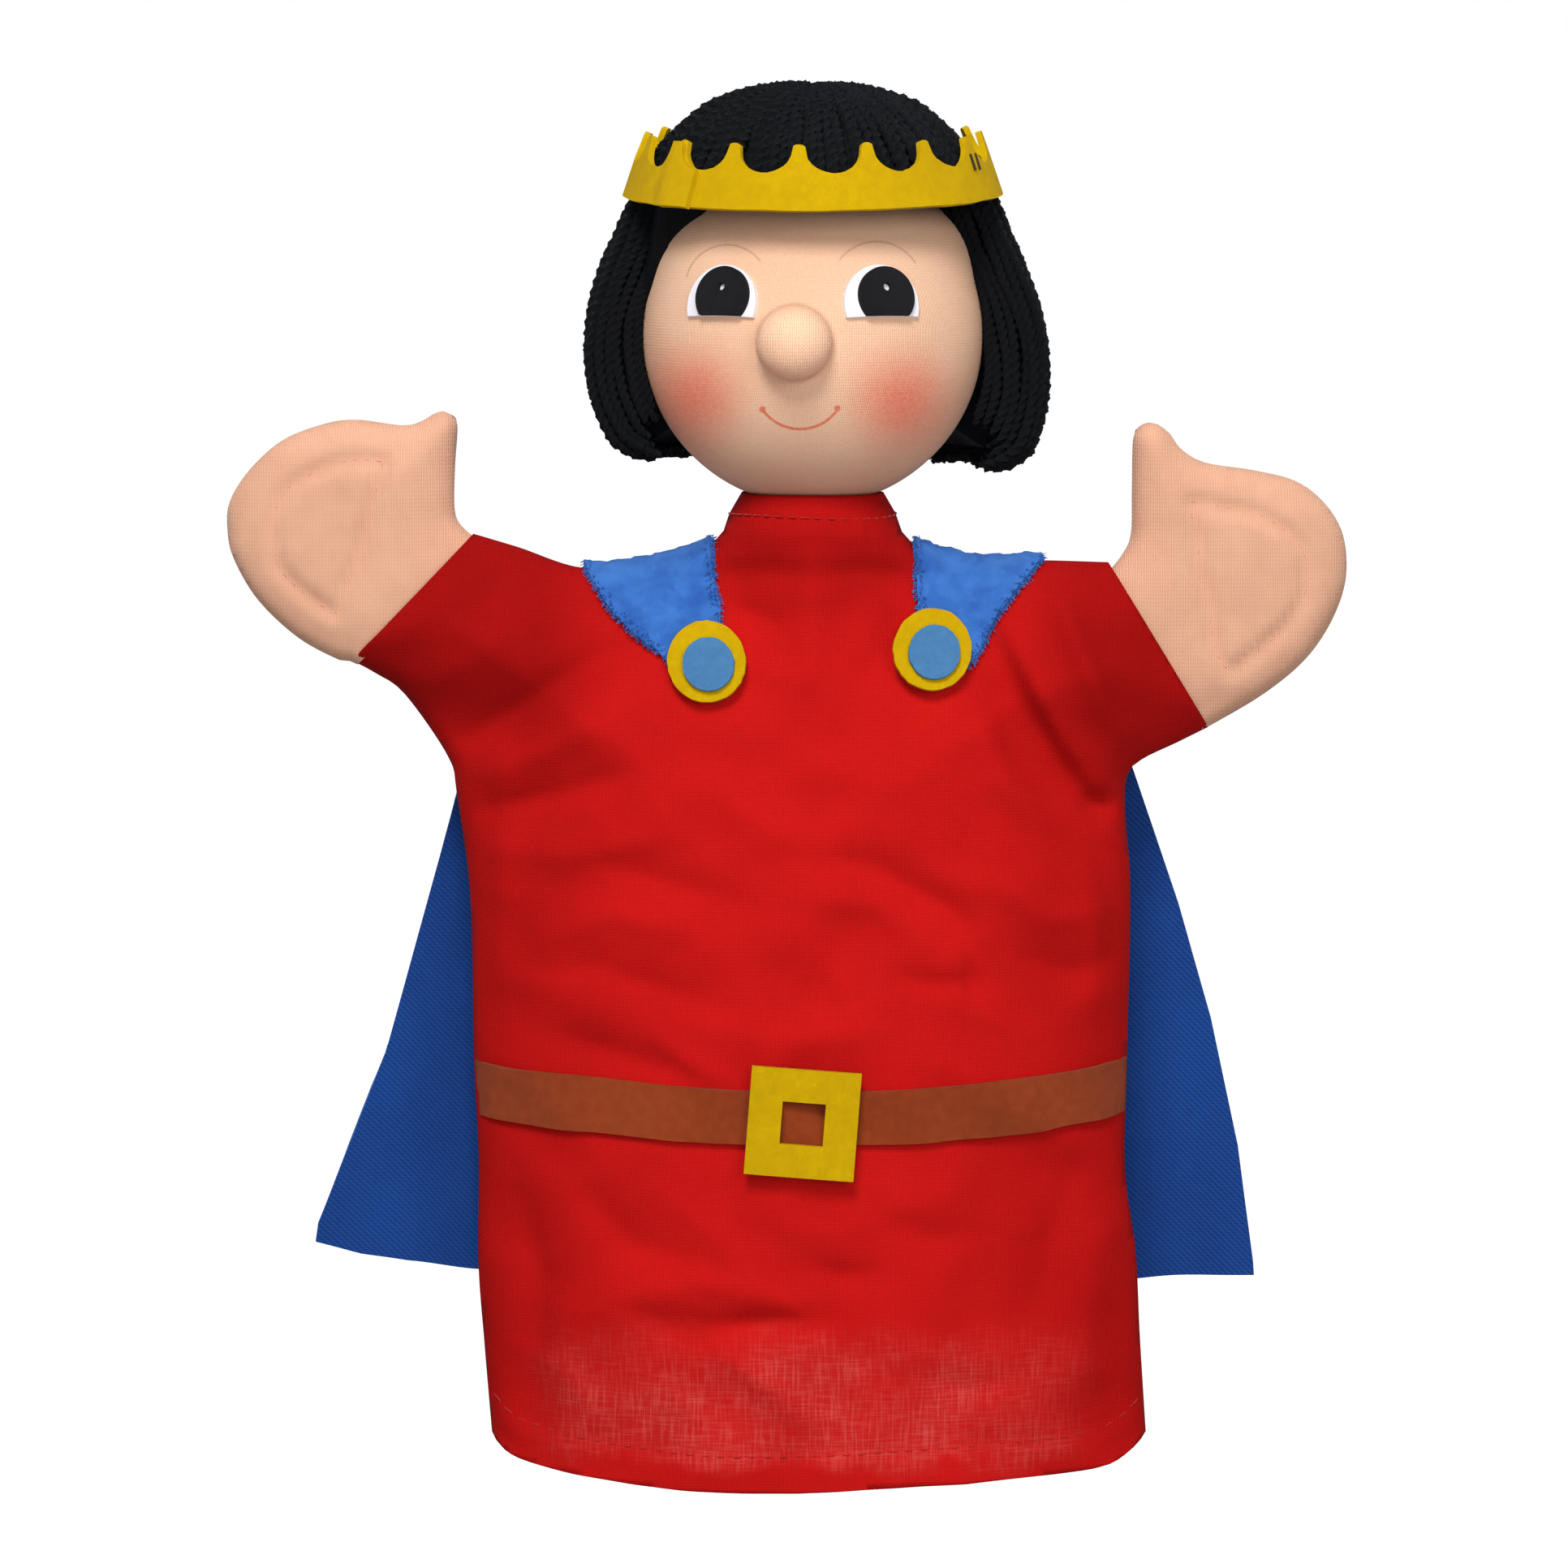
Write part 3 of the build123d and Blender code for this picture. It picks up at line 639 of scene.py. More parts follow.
TWILL = Finish(
    "cape_twill",
    tint(28, 74, 150),
    tint(8, 27, 80),
    Surface.WEAVE,
    (("Threads", 1500.0), ("Twill", 1.0)),
    depth=0.12,
    rough=0.75,
    sheen=0.2,
    sheen_tint=tint(120, 160, 230),
    on_uv=True,
    blotch=0.12,
)
YARN = Finish(
    "hair_wool",
    tint(17, 18, 20),
    tint(3, 3, 4),
    Surface.FIBRES,
    (("Scale", 1500.0),),
    depth=0.25,
    rough=0.72,
    sheen=0.04,
    sheen_tint=tint(150, 170, 200),
)
STOCKING = SkinFinish(
    "stocking",
    tint(255, 220, 186),
    tint(220, 132, 100),
    Surface.KNIT,
    (("Columns", 362.0), ("Rows", 190.0)),
    depth=0.14,
    rough=0.85,
    sheen=0.05,
    sheen_tint=tint(255, 226, 205),
    on_uv=True,
    blotch=0.1,
    blushes=(Blush(-24.8, 235.0, 16.0), Blush(18.3, 234.0, 15.5)),
    lines=(
        PencilLine(-2.75, 237.9, 9.33, 0.42, 220.0, 232.3, -40.0, 40.0, 0.85, tint(232, 92, 62)),
        PencilLine(-10.4, 232.6, 0.0, 0.95, 220.0, 240.0, -40.0, 40.0, 0.9, tint(226, 78, 52)),
        PencilLine(4.9, 232.9, 0.0, 0.95, 220.0, 240.0, -40.0, 40.0, 0.9, tint(226, 78, 52)),
        PencilLine(-17.6, 257.4, 8.7, 0.3, 259.5, 280.0, -40.0, -10.8, 0.42, tint(150, 96, 70)),
        PencilLine(12.9, 257.2, 9.6, 0.3, 262.4, 280.0, 5.4, 40.0, 0.42, tint(150, 96, 70)),
    ),
)
FLEECE = Finish(
    "hand_fleece",
    tint(230, 180, 150),
    tint(186, 124, 98),
    Surface.KNIT,
    (("Columns", 1350.0), ("Rows", 1250.0)),
    depth=0.12,
    rough=0.9,
    sheen=0.25,
    sheen_tint=tint(255, 226, 205),
    on_uv=True,
    blotch=0.1,
)
RED_THREAD = Finish("red_thread", tint(190, 20, 18), tint(120, 4, 6), depth=0.05)
SKIN_THREAD = Finish("skin_thread", tint(226, 166, 132), tint(196, 130, 96), depth=0.05)
DARK_THREAD = Finish("dark_thread", tint(70, 52, 20), tint(30, 22, 10), depth=0.05)
PALE_THREAD = Finish("thread", tint(225, 215, 200), tint(190, 176, 156), depth=0.05)
FOAM = Finish("foam", tint(246, 243, 234), tint(226, 220, 206), depth=0.2, sheen=0.0)
CARD = Finish("tube_card", tint(196, 168, 128), tint(166, 136, 98), depth=0.05, sheen=0.0)
BEAD = Finish(
    "bead_wood", tint(222, 184, 134), tint(190, 146, 96), depth=0.02, rough=0.5, sheen=0.0
)
CORD = Finish("cord", tint(225, 218, 205), tint(190, 182, 166), depth=0.06)


# ---- Meshes -------------------------------------------------------------------------------------


def linked(name: str, data: bpy.types.ID) -> bpy.types.Object:
    """Makes an object from its data and puts it in the scene."""
    made = bpy.data.objects.new(name, data)
    bpy.context.scene.collection.objects.link(made)
    return made


def keep_part(bm: bmesh.types.BMesh, inside: Callable[[Vector], bool]) -> bmesh.types.BMesh:
    """Copies the faces whose middle passes a test.

    Args:
        bm: The whole mesh.
        inside: The test.

    Returns:
        A new mesh with only those faces.
    """
    part = bm.copy()
    dropped = [f for f in part.faces if not inside(f.calc_center_median())]
    bmesh.ops.delete(part, geom=dropped, context="FACES")
    return part


def finish_mesh(
    name: str, bm: bmesh.types.BMesh, *finishes: Finish, record_slot: str = ""
) -> bpy.types.Object:
    """Turns a mesh in millimetres into an object in metres, at the origin.

    Args:
        name: The object's name.
        bm: The mesh, which is freed.
        *finishes: Its materials.
        record_slot: The record's slot, where it isn't the first finish's name; not used.

    Returns:
        The object.
    """
    bmesh.ops.transform(bm, matrix=Matrix.Scale(MM, 4), verts=bm.verts)
    for face in bm.faces:
        face.smooth = True
    kept = bm.verts.layers.float_vector.get("soft_normal")
    normals = [v[kept].copy() for v in bm.verts] if kept else None
    if kept:
        bm.verts.layers.float_vector.remove(kept)
    mesh = bpy.data.meshes.new(name)
    bm.to_mesh(mesh)
    bm.free()
    if normals:
        mesh.normals_split_custom_set_from_vertices(normals)
    else:
        mesh.set_sharp_from_angle(angle=SHARP)
    piece = linked(name, mesh)
    for finish in finishes:
        mesh.materials.append(finish.material())
    log.info("%s: %d faces", name, len(mesh.polygons))
    return piece


def keep_normals(bm: bmesh.types.BMesh) -> None:
    """Notes each vertex's normal, so that pieces cut from one cloth shade as one."""
    bm.normal_update()
    layer = bm.verts.layers.float_vector.new("soft_normal")
    for v in bm.verts:
        v[layer] = v.normal


def flat_panel(outline: Sequence[Point], pitch: float, turn: float = 0.0) -> bmesh.types.BMesh:
    """Cuts a flat shape into a grid.

    Args:
        outline: Its corners, seen from the front.
        pitch: Size of the grid's squares.
        turn: Degrees that the grid is turned by.

    Returns:
        The flat mesh in the plane Y 0, with a UV map in metres.
    """
    bm = bmesh.new()
    bm.faces.new([bm.verts.new((x, 0.0, z)) for x, z in outline])
    bm.normal_update()
    if bm.faces[:][0].normal.y > 0:
        bmesh.ops.reverse_faces(bm, faces=bm.faces[:])
    xs, zs = [p[0] for p in outline], [p[1] for p in outline]
    middle = Vector(((min(xs) + max(xs)) / 2, 0.0, (min(zs) + max(zs)) / 2))
    half = max(max(xs) - min(xs), max(zs) - min(zs)) * 0.75
    tilt = Matrix.Rotation(math.radians(turn), 3, "Y")
    for direction in (Vector((1, 0, 0)), Vector((0, 0, 1))):
        normal = tilt @ direction
        for step in np.arange(-half, half, pitch):
            bmesh.ops.bisect_plane(
                bm,
                geom=bm.verts[:] + bm.edges[:] + bm.faces[:],
                dist=0.02,
                plane_co=middle + normal * float(step + 0.37 * pitch),
                plane_no=normal,
            )
    uv = bm.loops.layers.uv.new("flat")
    for face in bm.faces:
        for loop in face.loops:
            loop[uv].uv = (loop.vert.co.x * MM, loop.vert.co.z * MM)
    return bm


def spread(bm: bmesh.types.BMesh, place: Callable[[np.ndarray, np.ndarray], np.ndarray]) -> None:
    """Sets each vertex's Y from its X and Z."""
    co = np.array([v.co[:] for v in bm.verts])
    for v, y in zip(bm.verts, place(co[:, 0], co[:, 2])):
        v.co.y = float(y)


def joined(parts: Iterable[bmesh.types.BMesh], weld: float = 0.0) -> bmesh.types.BMesh:
    """Puts meshes together in one, and welds vertices that meet."""
    whole = bmesh.new()
    for part in parts:
        held = bpy.data.meshes.new("held")
        part.to_mesh(held)
        part.free()
        whole.from_mesh(held)
        bpy.data.meshes.remove(held)
    if weld:
        bmesh.ops.remove_doubles(whole, verts=whole.verts, dist=weld)
    return whole


def thicken(
    bm: bmesh.types.BMesh,
    thickness: float,
    lift: float = 0.0,
    reaches: np.ndarray | None = None,
) -> None:
    """Gives a sheet its thickness.

    Args:
        bm: The sheet.
        thickness: Outwards from where it lies, or inwards where it is below zero.
        lift: How far it is lifted first.
        reaches: For each vertex, how much of the lift and thickness it gets, from 0 to 1.
    """
    bm.normal_update()
    shares = reaches if reaches is not None else np.ones(len(bm.verts))
    for v, share in zip(bm.verts, shares):
        v.co += v.normal * float(share) * (lift + max(thickness, 0.0))
    bmesh.ops.solidify(bm, geom=bm.faces[:], thickness=abs(thickness))


def thread_runs(
    name: str, runs: Sequence[Sequence[Vector]], radius: float, finish: Finish
) -> bpy.types.Object:
    """Makes stitches: short round threads, each through its own points.

    Args:
        name: The object's name.
        runs: The points of each stitch.
        radius: The thread's radius.
        finish: Its material.

    Returns:
        The object.
    """
    curve = bpy.data.curves.new(name, "CURVE")
    curve.dimensions = "3D"
    curve.bevel_depth = radius * MM
    curve.bevel_resolution = 1
    curve.use_fill_caps = True
    for run in runs:
        spline = curve.splines.new("POLY")
        spline.points.add(len(run) - 1)
        for point, place in zip(spline.points, run):
            point.co = (*(place * MM), 1.0)
    return curve_to_mesh(name, curve, finish)


def curve_to_mesh(name: str, curve: bpy.types.Curve, finish: Finish) -> bpy.types.Object:
    """Turns a curve into a mesh object with one material."""
    drawn = linked(name + "_line", curve)
    bpy.context.view_layer.update()
    solid = drawn.evaluated_get(bpy.context.evaluated_depsgraph_get())
    mesh = bpy.data.meshes.new_from_object(solid)
    bpy.data.objects.remove(drawn)
    bpy.data.curves.remove(curve)
    bm = bmesh.new()
    bm.from_mesh(mesh)
    bpy.data.meshes.remove(mesh)
    bmesh.ops.transform(bm, matrix=Matrix.Scale(1 / MM, 4), verts=bm.verts)
    return finish_mesh(name, bm, finish)


# ---- The shape of the gown ----------------------------------------------------------------------


@dataclass(frozen=True)
class Fold:
    """A crease or a ridge in cloth.

    Attributes:
        line: The points it runs through, seen from the front.
        height: How far it stands out, below zero for a crease.
        width: Half its width.
        side: FRONT or BACK.
        edge: How steep its sides are: 1 for a sharp crease, 2 for a soft fold.
        lapped: Whether the cloth at higher X lies over the cloth at lower X along a steep line.
        lap_width: How far a lapped fold takes to step up.
    """

    line: tuple[Point, ...]
    height: float
    width: float
    side: int = FRONT
    edge: float = 1.5
    lapped: bool = False
    lap_width: float = 2.2

    def rise(self, x: np.ndarray, z: np.ndarray) -> np.ndarray:
        """How far the cloth stands out at points."""
        off, share = reach_to(self.line, x, z)
        fade = np.sin(np.pi * np.clip(share, 0.02, 0.98)) ** 0.7
        swell = self.height * fade * np.exp(-((off / self.width) ** self.edge))
        if self.lapped:
            across, up = zip(*sorted(self.line, key=lambda p: p[1]))
            beside = np.sign(x - np.interp(z, up, across))
            return swell * np.tanh(beside * off / self.lap_width)
        return swell


@dataclass
class GownShape:
    """Where the gown's cloth lies: an outline sewn all round, and its depth inside that line."""

    left_side: tuple[Point, ...] = (
        (-68.5, 13.0), (-70.0, 32.0), (-71.2, 50.0), (-71.0, 72.0), (-71.9, 94.0), (-72.4, 127.0),
        (-75.2, 150.0), (-77.0, 158.0), (-86.0, 171.2), (-92.0, 175.6), (-97.2, 178.4),
    )
    left_top: tuple[Point, ...] = (
        (-71.4, 205.2), (-62.0, 202.4), (-48.3, 198.0), (-34.0, 199.2), (-20.6, 203.6),
        (-17.5, 209.5), (-14.9, 214.0),
    )
    right_top: tuple[Point, ...] = (
        (14.9, 214.0), (17.5, 209.5), (20.8, 203.4), (34.0, 199.6), (48.8, 199.6), (62.3, 199.2),
    )
    right_side: tuple[Point, ...] = (
        (83.6, 164.3), (77.0, 161.0), (69.6, 157.4), (66.6, 154.0), (66.2, 146.0), (67.4, 129.0),
        (66.9, 94.0), (66.6, 70.0), (69.0, 52.0), (70.0, 34.0), (71.4, 13.0),
    )
    hem: tuple[Point, ...] = (
        (71.4, 13.0), (66.5, 9.6), (60.0, 7.6), (40.0, 6.4), (17.0, 5.4), (-5.0, 4.4), (-24.0, 4.5),
        (-46.0, 6.4), (-60.0, 8.6), (-65.5, 10.4), (-68.5, 13.0),
    )
    depth: float = 21.8
    half_round: float = 66.0
    fullness: float = 0.6
    collar_low: float = 196.0
    collar_high: float = 206.0
    collar_reach: float = 30.0
    cuff_depth: float = 9.4
    cuff_ease: float = 2.4
    hem_fold: float = 7.7
    wander: float = 0.5
    crease: float = 2.4
    folds: tuple[Fold, ...] = (
        Fold(((-19.5, 191.5), (-12.0, 188.3), (-5.0, 187.0)), -2.2, 2.6),
        Fold(((-20.0, 181.5), (-9.0, 177.0), (2.0, 176.0)), 1.6, 4.2),
        Fold(((19.5, 191.0), (16.0, 183.0), (9.0, 173.0)), -2.0, 3.4),
        Fold(((-10.0, 184.0), (-3.0, 172.0), (-2.0, 156.0)), -1.8, 7.0, edge=2.0),
        Fold(((-19.0, 199.0), (0.0, 193.0), (19.0, 199.5)), 0.8, 3.4),
        Fold(((50.0, 198.0), (54.0, 186.0), (60.0, 172.0), (67.5, 160.5)), 4.2, 4.2),
        Fold(
            ((37.0, 190.0), (44.5, 174.0), (52.0, 161.0), (58.5, 152.0), (65.5, 146.0)),
            5.0, 8.0,
            edge=1.2,
            lapped=True,
        ),
        Fold(((36.0, 176.0), (43.0, 160.0), (54.0, 147.0)), -2.2, 3.4),
        Fold(((34.0, 168.0), (40.0, 154.0), (50.0, 143.0)), 2.2, 3.6),
        Fold(((56.0, 150.0), (66.0, 147.5)), -3.4, 2.4),
        Fold(((-77.0, 159.0), (-62.0, 169.0), (-44.0, 180.0), (-30.0, 184.0)), -4.0, 4.2),
        Fold(((-76.0, 153.0), (-58.0, 160.0), (-40.0, 169.0)), 3.0, 4.4),
        Fold(((-75.0, 147.0), (-58.0, 150.0), (-36.0, 157.0)), -3.4, 4.0),
        Fold(((-72.0, 140.0), (-52.0, 139.0), (-28.0, 144.0)), 2.0, 4.5),
        Fold(((-90.0, 176.0), (-80.0, 186.0), (-66.0, 194.0)), -1.8, 3.2),
        Fold(((-84.0, 172.0), (-74.0, 178.0), (-62.0, 186.0)), 1.4, 3.6),
        Fold(((-66.0, 131.0), (-44.0, 136.0), (-20.0, 131.0), (-6.0, 126.0)), -1.9, 4.6),
        Fold(((-60.0, 119.0), (-42.0, 127.0), (-22.0, 123.0)), 2.0, 4.6),
        Fold(((-62.0, 112.0), (-44.0, 115.0), (-20.0, 107.0)), -2.0, 3.8),
        Fold(((-6.0, 140.0), (12.0, 137.0), (28.0, 128.0), (40.0, 113.0)), -2.2, 3.4),
        Fold(((-4.0, 132.0), (14.0, 129.0), (27.0, 119.0)), 1.7, 4.0),
        Fold(((16.0, 113.5), (26.0, 112.0), (36.0, 112.5)), -1.8, 2.6),
        Fold(((33.0, 122.0), (34.0, 113.0), (33.0, 106.0)), -1.4, 2.2),
        Fold(((38.0, 133.0), (50.0, 126.0), (64.0, 127.0)), 2.0, 4.2),
        Fold(((42.0, 118.0), (54.0, 113.0), (65.0, 116.0)), -1.8, 3.6),
        Fold(((-34.0, 106.0), (-10.0, 101.0), (20.0, 103.0)), 1.4, 4.2),
        Fold(((-60.0, 101.0), (-40.0, 97.0), (-22.0, 92.0)), -1.7, 3.6),
        Fold(((-36.0, 104.0), (-26.0, 96.0), (-15.0, 90.0)), 1.4, 2.6),
        Fold(((58.0, 76.0), (50.0, 56.0), (46.0, 30.0)), -1.9, 4.6),
        Fold(((64.0, 66.0), (58.0, 44.0), (58.0, 20.0)), 1.6, 4.4),
        Fold(((-64.0, 74.0), (-57.0, 48.0), (-60.0, 20.0)), -2.2, 4.2),
        Fold(((-50.0, 70.0), (-38.0, 56.0), (-14.0, 50.0)), -1.7, 4.0),
        Fold(((-46.0, 44.0), (-24.0, 50.0), (0.0, 43.0)), 1.7, 3.6),
        Fold(((-42.0, 44.0), (-24.0, 37.0), (4.0, 44.0)), -1.8, 3.0),
        Fold(((-30.0, 41.0), (-12.0, 40.0), (8.0, 41.0)), -1.6, 2.4),
        Fold(((0.0, 53.0), (6.0, 50.5), (14.0, 51.0)), -1.4, 2.2),
        Fold(((-22.0, 36.0), (-10.0, 28.0), (0.0, 20.0)), 1.6, 3.2),
        Fold(((10.0, 66.0), (26.0, 58.0), (48.0, 62.0)), -1.3, 4.0),
        Fold(((18.0, 30.0), (34.0, 26.0), (48.0, 30.0)), -1.2, 3.4),
        Fold(((-64.0, 160.0), (-66.0, 120.0), (-64.0, 95.0)), 1.2, 3.0),
        Fold(((58.0, 138.0), (60.0, 118.0), (58.0, 96.0)), 1.3, 3.2),
        Fold(((-30.0, 180.0), (-10.0, 150.0), (-4.0, 120.0)), -2.4, 7.0, BACK),
        Fold(((34.0, 172.0), (20.0, 140.0), (26.0, 100.0)), -2.2, 7.0, BACK),
        Fold(((-50.0, 70.0), (-20.0, 50.0), (20.0, 60.0)), 1.8, 7.0, BACK),
        Fold(((60.0, 152.0), (40.0, 162.0), (22.0, 168.0)), -2.4, 4.0, BACK),
        Fold(((-68.0, 152.0), (-44.0, 162.0), (-24.0, 168.0)), -2.4, 4.0, BACK),
    )
    seams: tuple[list[Point], ...] = field(init=False)

    def __post_init__(self) -> None:
        """Smooths the sewn lines."""
        self.seams = (
            smooth_line(self.left_side),
            smooth_line(self.left_top),
            smooth_line(self.right_top),
            smooth_line(self.right_side),
        )

    def outline(self) -> list[Point]:
        """The whole cut edge, once round."""
        corners: list[Point] = []
        for line in (*self.seams, smooth_line(self.hem)):
            corners += line if not corners or math.dist(corners[-1], line[0]) > 0.1 else line[1:]
        return corners[:-1]

    def cuffs(self) -> tuple[tuple[Point, Point], tuple[Point, Point]]:
        """The two ends of each sleeve's open edge."""
        return (
            (self.left_side[-1], self.left_top[0]),
            (self.right_top[-1], self.right_side[0]),
        )

    def plain(self, x: np.ndarray, z: np.ndarray) -> np.ndarray:
        """Depth of the cloth from the middle plane, without its folds."""
        off = np.min([reach_to(seam, x, z)[0] for seam in self.seams], axis=0)
        share = np.clip(off / self.half_round, 0, 1)
        body = self.depth * (1 - (1 - share) ** 2) ** self.fullness
        for low, high in self.cuffs():
            cuff = self.cuff_depth + 0.5 * reach_to((low, high), x, z)[0]
            blend = np.clip(0.5 + 0.5 * (cuff - body) / self.cuff_ease, 0, 1)
            body = cuff * (1 - blend) + body * blend - self.cuff_ease * blend * (1 - blend)
        body = np.maximum(body, 0.0) * np.clip(off / 0.5, 0, 1)
        collar = np.interp(z, (196.0, 203.5, 209.5, 214.0), (32.0, 20.8, 17.5, 14.9))
        flat = np.interp(z, (196.0, 203.5, 209.5), (0.62, 0.84, 1.0))
        ring = flat * np.sqrt(np.clip(collar**2 - x**2, 0, None))
        near = np.clip((z - self.collar_low) / (self.collar_high - self.collar_low), 0, 1)
        near = eased(near) * (np.abs(x) < self.collar_reach)
        return body * (1 - near) + ring * near

    def sewn(self, x: np.ndarray, z: np.ndarray) -> np.ndarray:
        """How far points are from being sewn down: 0 on a seam, 1 a little way in."""
        off = np.min([reach_to(seam, x, z)[0] for seam in self.seams], axis=0)
        return np.clip(off / 6.0, 0, 1)

    def hem_rise(self, x: np.ndarray, z: np.ndarray) -> np.ndarray:
        """The turned-up hem: a second layer, drawn in where it is stitched."""
        off, _ = reach_to(smooth_line(self.hem), x, z)
        layer = 0.35 * np.clip((self.hem_fold + 0.8 - off) / 0.8, 0, 1)
        puckers = 1 + 0.35 * np.sin(x * 0.9) * np.sin(x * 0.37 + 1.0)
        return layer - 0.5 * puckers * np.exp(-(((off - self.hem_fold) / 0.9) ** 2))

    def folded(self, x: np.ndarray, z: np.ndarray, side: int) -> np.ndarray:
        """Depth of the cloth with its folds, hem and small waves."""
        waves = noise_at(x * 0.045, z * 0.05, 3.0 * side)
        waves = waves + 0.5 * noise_at(x * 0.11 + 7, z * 0.1, 5.0 * side)
        ridges = 0.5 - abs(noise_at(x * 0.034 + 4, z * 0.05 + 0.01 * x, 11.0 * side))
        rise = self.wander * 2 * waves + self.crease * (ridges - 0.3)
        rise = rise + sum(f.rise(x, z) for f in self.folds if f.side == side)
        calm = np.clip((212.0 - z) / 14.0, 0, 1)
        for low, high in self.cuffs():
            calm = calm * np.clip(reach_to((low, high), x, z)[0] / 14.0, 0.15, 1)
        rise = rise * calm + self.hem_rise(x, z)
        gather = 0.3 * np.sin(np.arctan2(x, 14.0) * 34) * np.exp(-(((z - 206) / 4) ** 2))
        return np.maximum(self.plain(x, z) + (rise + gather) * self.sewn(x, z), 0.0)

    def surface(self, x: np.ndarray, z: np.ndarray, side: int = FRONT) -> np.ndarray:
        """Y of the cloth on one side."""
        return side * self.folded(x, z, side)

    def point(self, x: float, z: float, out: float = 0.0, side: int = FRONT) -> Vector:
        """A point on the cloth, or a distance out from it."""
        deep = self.folded(np.array([x]), np.array([z]), side)[0]
        return Vector((x, side * (deep + out), z))

    def wrapped(
        self,
        outline: Sequence[Point],
        pitch: float,
        thickness: float,
        lift: float,
        sewn_in: bool = False,
    ) -> bmesh.types.BMesh:
        """Cloth that goes round the gown, front and back.

        Args:
            outline: The shape seen from the front, which meets the gown's own outline.
            pitch: Size of the grid's squares.
            thickness: The cloth's thickness.
            lift: Its distance from the gown.
            sewn_in: Whether it goes into the side seams.

        Returns:
            The mesh.
        """
        sheets = []
        panel = flat_panel(outline, pitch)
        for side in (FRONT, BACK):
            sheet = panel.copy()
            if side == BACK:
                bmesh.ops.reverse_faces(sheet, faces=sheet.faces[:])
            spread(sheet, lambda x, z, s=side: self.surface(x, z, s))
            sheets.append(sheet)
        panel.free()
        whole = joined(sheets, weld=0.05)
        reaches = None
        if sewn_in:
            co = np.array([v.co[:] for v in whole.verts])
            reaches = self.sewn(co[:, 0], co[:, 2])
        thicken(whole, thickness, lift, reaches)
        return whole


# ---- Gown, sleeves, neck and collar -------------------------------------------------------------


@dataclass
class Gown:
    """The red gown in one cloth, cut where a joint bends it."""

    shape: GownShape
    pitch: float = 1.6
    cloth: float = 0.5
    neck_low: float = 196.5
    neck_high: float = 202.0
    collar_high: float = 209.0
    neck_half: float = 22.5
    arms_out: float = 44.0
    collar_radius: float = 17.5
    collar_seam: float = 209.5
    collar_stitches: int = 40
    stitch_radius: float = 0.16

    def build(self) -> None:
        """Makes the gown, its sleeves, its neck and its stitching."""
        whole = self.shape.wrapped(self.shape.outline(), self.pitch, -self.cloth, 0.0)
        keep_normals(whole)
        arms = {
            "right": (Vector((-61.7, 0, 175.4)), Vector((-0.82, 0, 0.57))),
            "left": (Vector((57.0, 0, 177.5)), Vector((0.92, 0, 0.39))),
        }

        def on_arm(p: Vector, side: str) -> bool:
            pivot, along = arms[side]
            return (p - pivot).dot(along) > -1.0 and abs(p.x) > self.arms_out

        def on_neck(p: Vector) -> bool:
            return p.z > self.neck_low and abs(p.x) < self.neck_half

        body = keep_part(
            whole, lambda p: not (on_arm(p, "left") or on_arm(p, "right") or on_neck(p))
        )
        gown = finish_mesh("gown_cloth", body, COTTON)
        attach(gown, "gown")
        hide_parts("gown_front", "gown_back")
        for side, (pivot, along) in arms.items():
            part = keep_part(whole, lambda p, s=side: on_arm(p, s))
            sleeve = finish_mesh(f"sleeve_cloth_{side}", part, COTTON)
            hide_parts(f"sleeve_front_{side}", f"sleeve_back_{side}")
            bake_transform(sleeve)
        neck = keep_part(whole, lambda p: on_neck(p) and p.z <= self.neck_high)
        neck_cloth = finish_mesh("neck_cloth", neck, COTTON)
        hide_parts("gown_neck")
        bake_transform(neck_cloth)
        collar = keep_part(whole, lambda p: on_neck(p) and p.z > self.neck_high)
        collar_cloth = finish_mesh("collar_cloth", collar, COTTON, record_slot="collar_cotton")
        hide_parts("collar")
        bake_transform(collar_cloth)
        whole.free()
        self.stitch()

    def stitch(self) -> None:
        """Sews the hem and the collar's channel."""
        fold = self.shape.hem_fold
        hem = [(x * 0.972, z + fold) for x, z in smooth_line(self.shape.hem)]
        runs = []
        for side in (FRONT, BACK):
            for at, run in along_line(hem, 3.3):
                ends = [at + run * t for t in (0.0, 0.7, 1.5, 2.2)]
                lifts = (-0.2, 0.12, 0.12, -0.2)
                runs.append([self.shape.point(p.x, p.y, out, side) for p, out in zip(ends, lifts)])
        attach(thread_runs("hem_stitches", runs, self.stitch_radius, RED_THREAD), "gown")
        runs = []
        step = math.tau / self.collar_stitches
        for number in range(self.collar_stitches):
            run = []
            for share, out in ((0.0, -0.1), (0.25, 0.14), (0.5, 0.14), (0.72, -0.1)):
                angle = (number + share) * step
                radius = self.collar_radius + out
                height = self.collar_seam + 0.35 * math.sin(2 * angle)
                run.append(Vector((radius * math.cos(angle), radius * math.sin(angle), height)))
            runs.append(run)
        collar = thread_runs("collar_stitches", runs, self.stitch_radius, RED_THREAD)
        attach(collar, "collar")


# ---- Belt, buckle, shoulder tabs, clasps --------------------------------------------------------


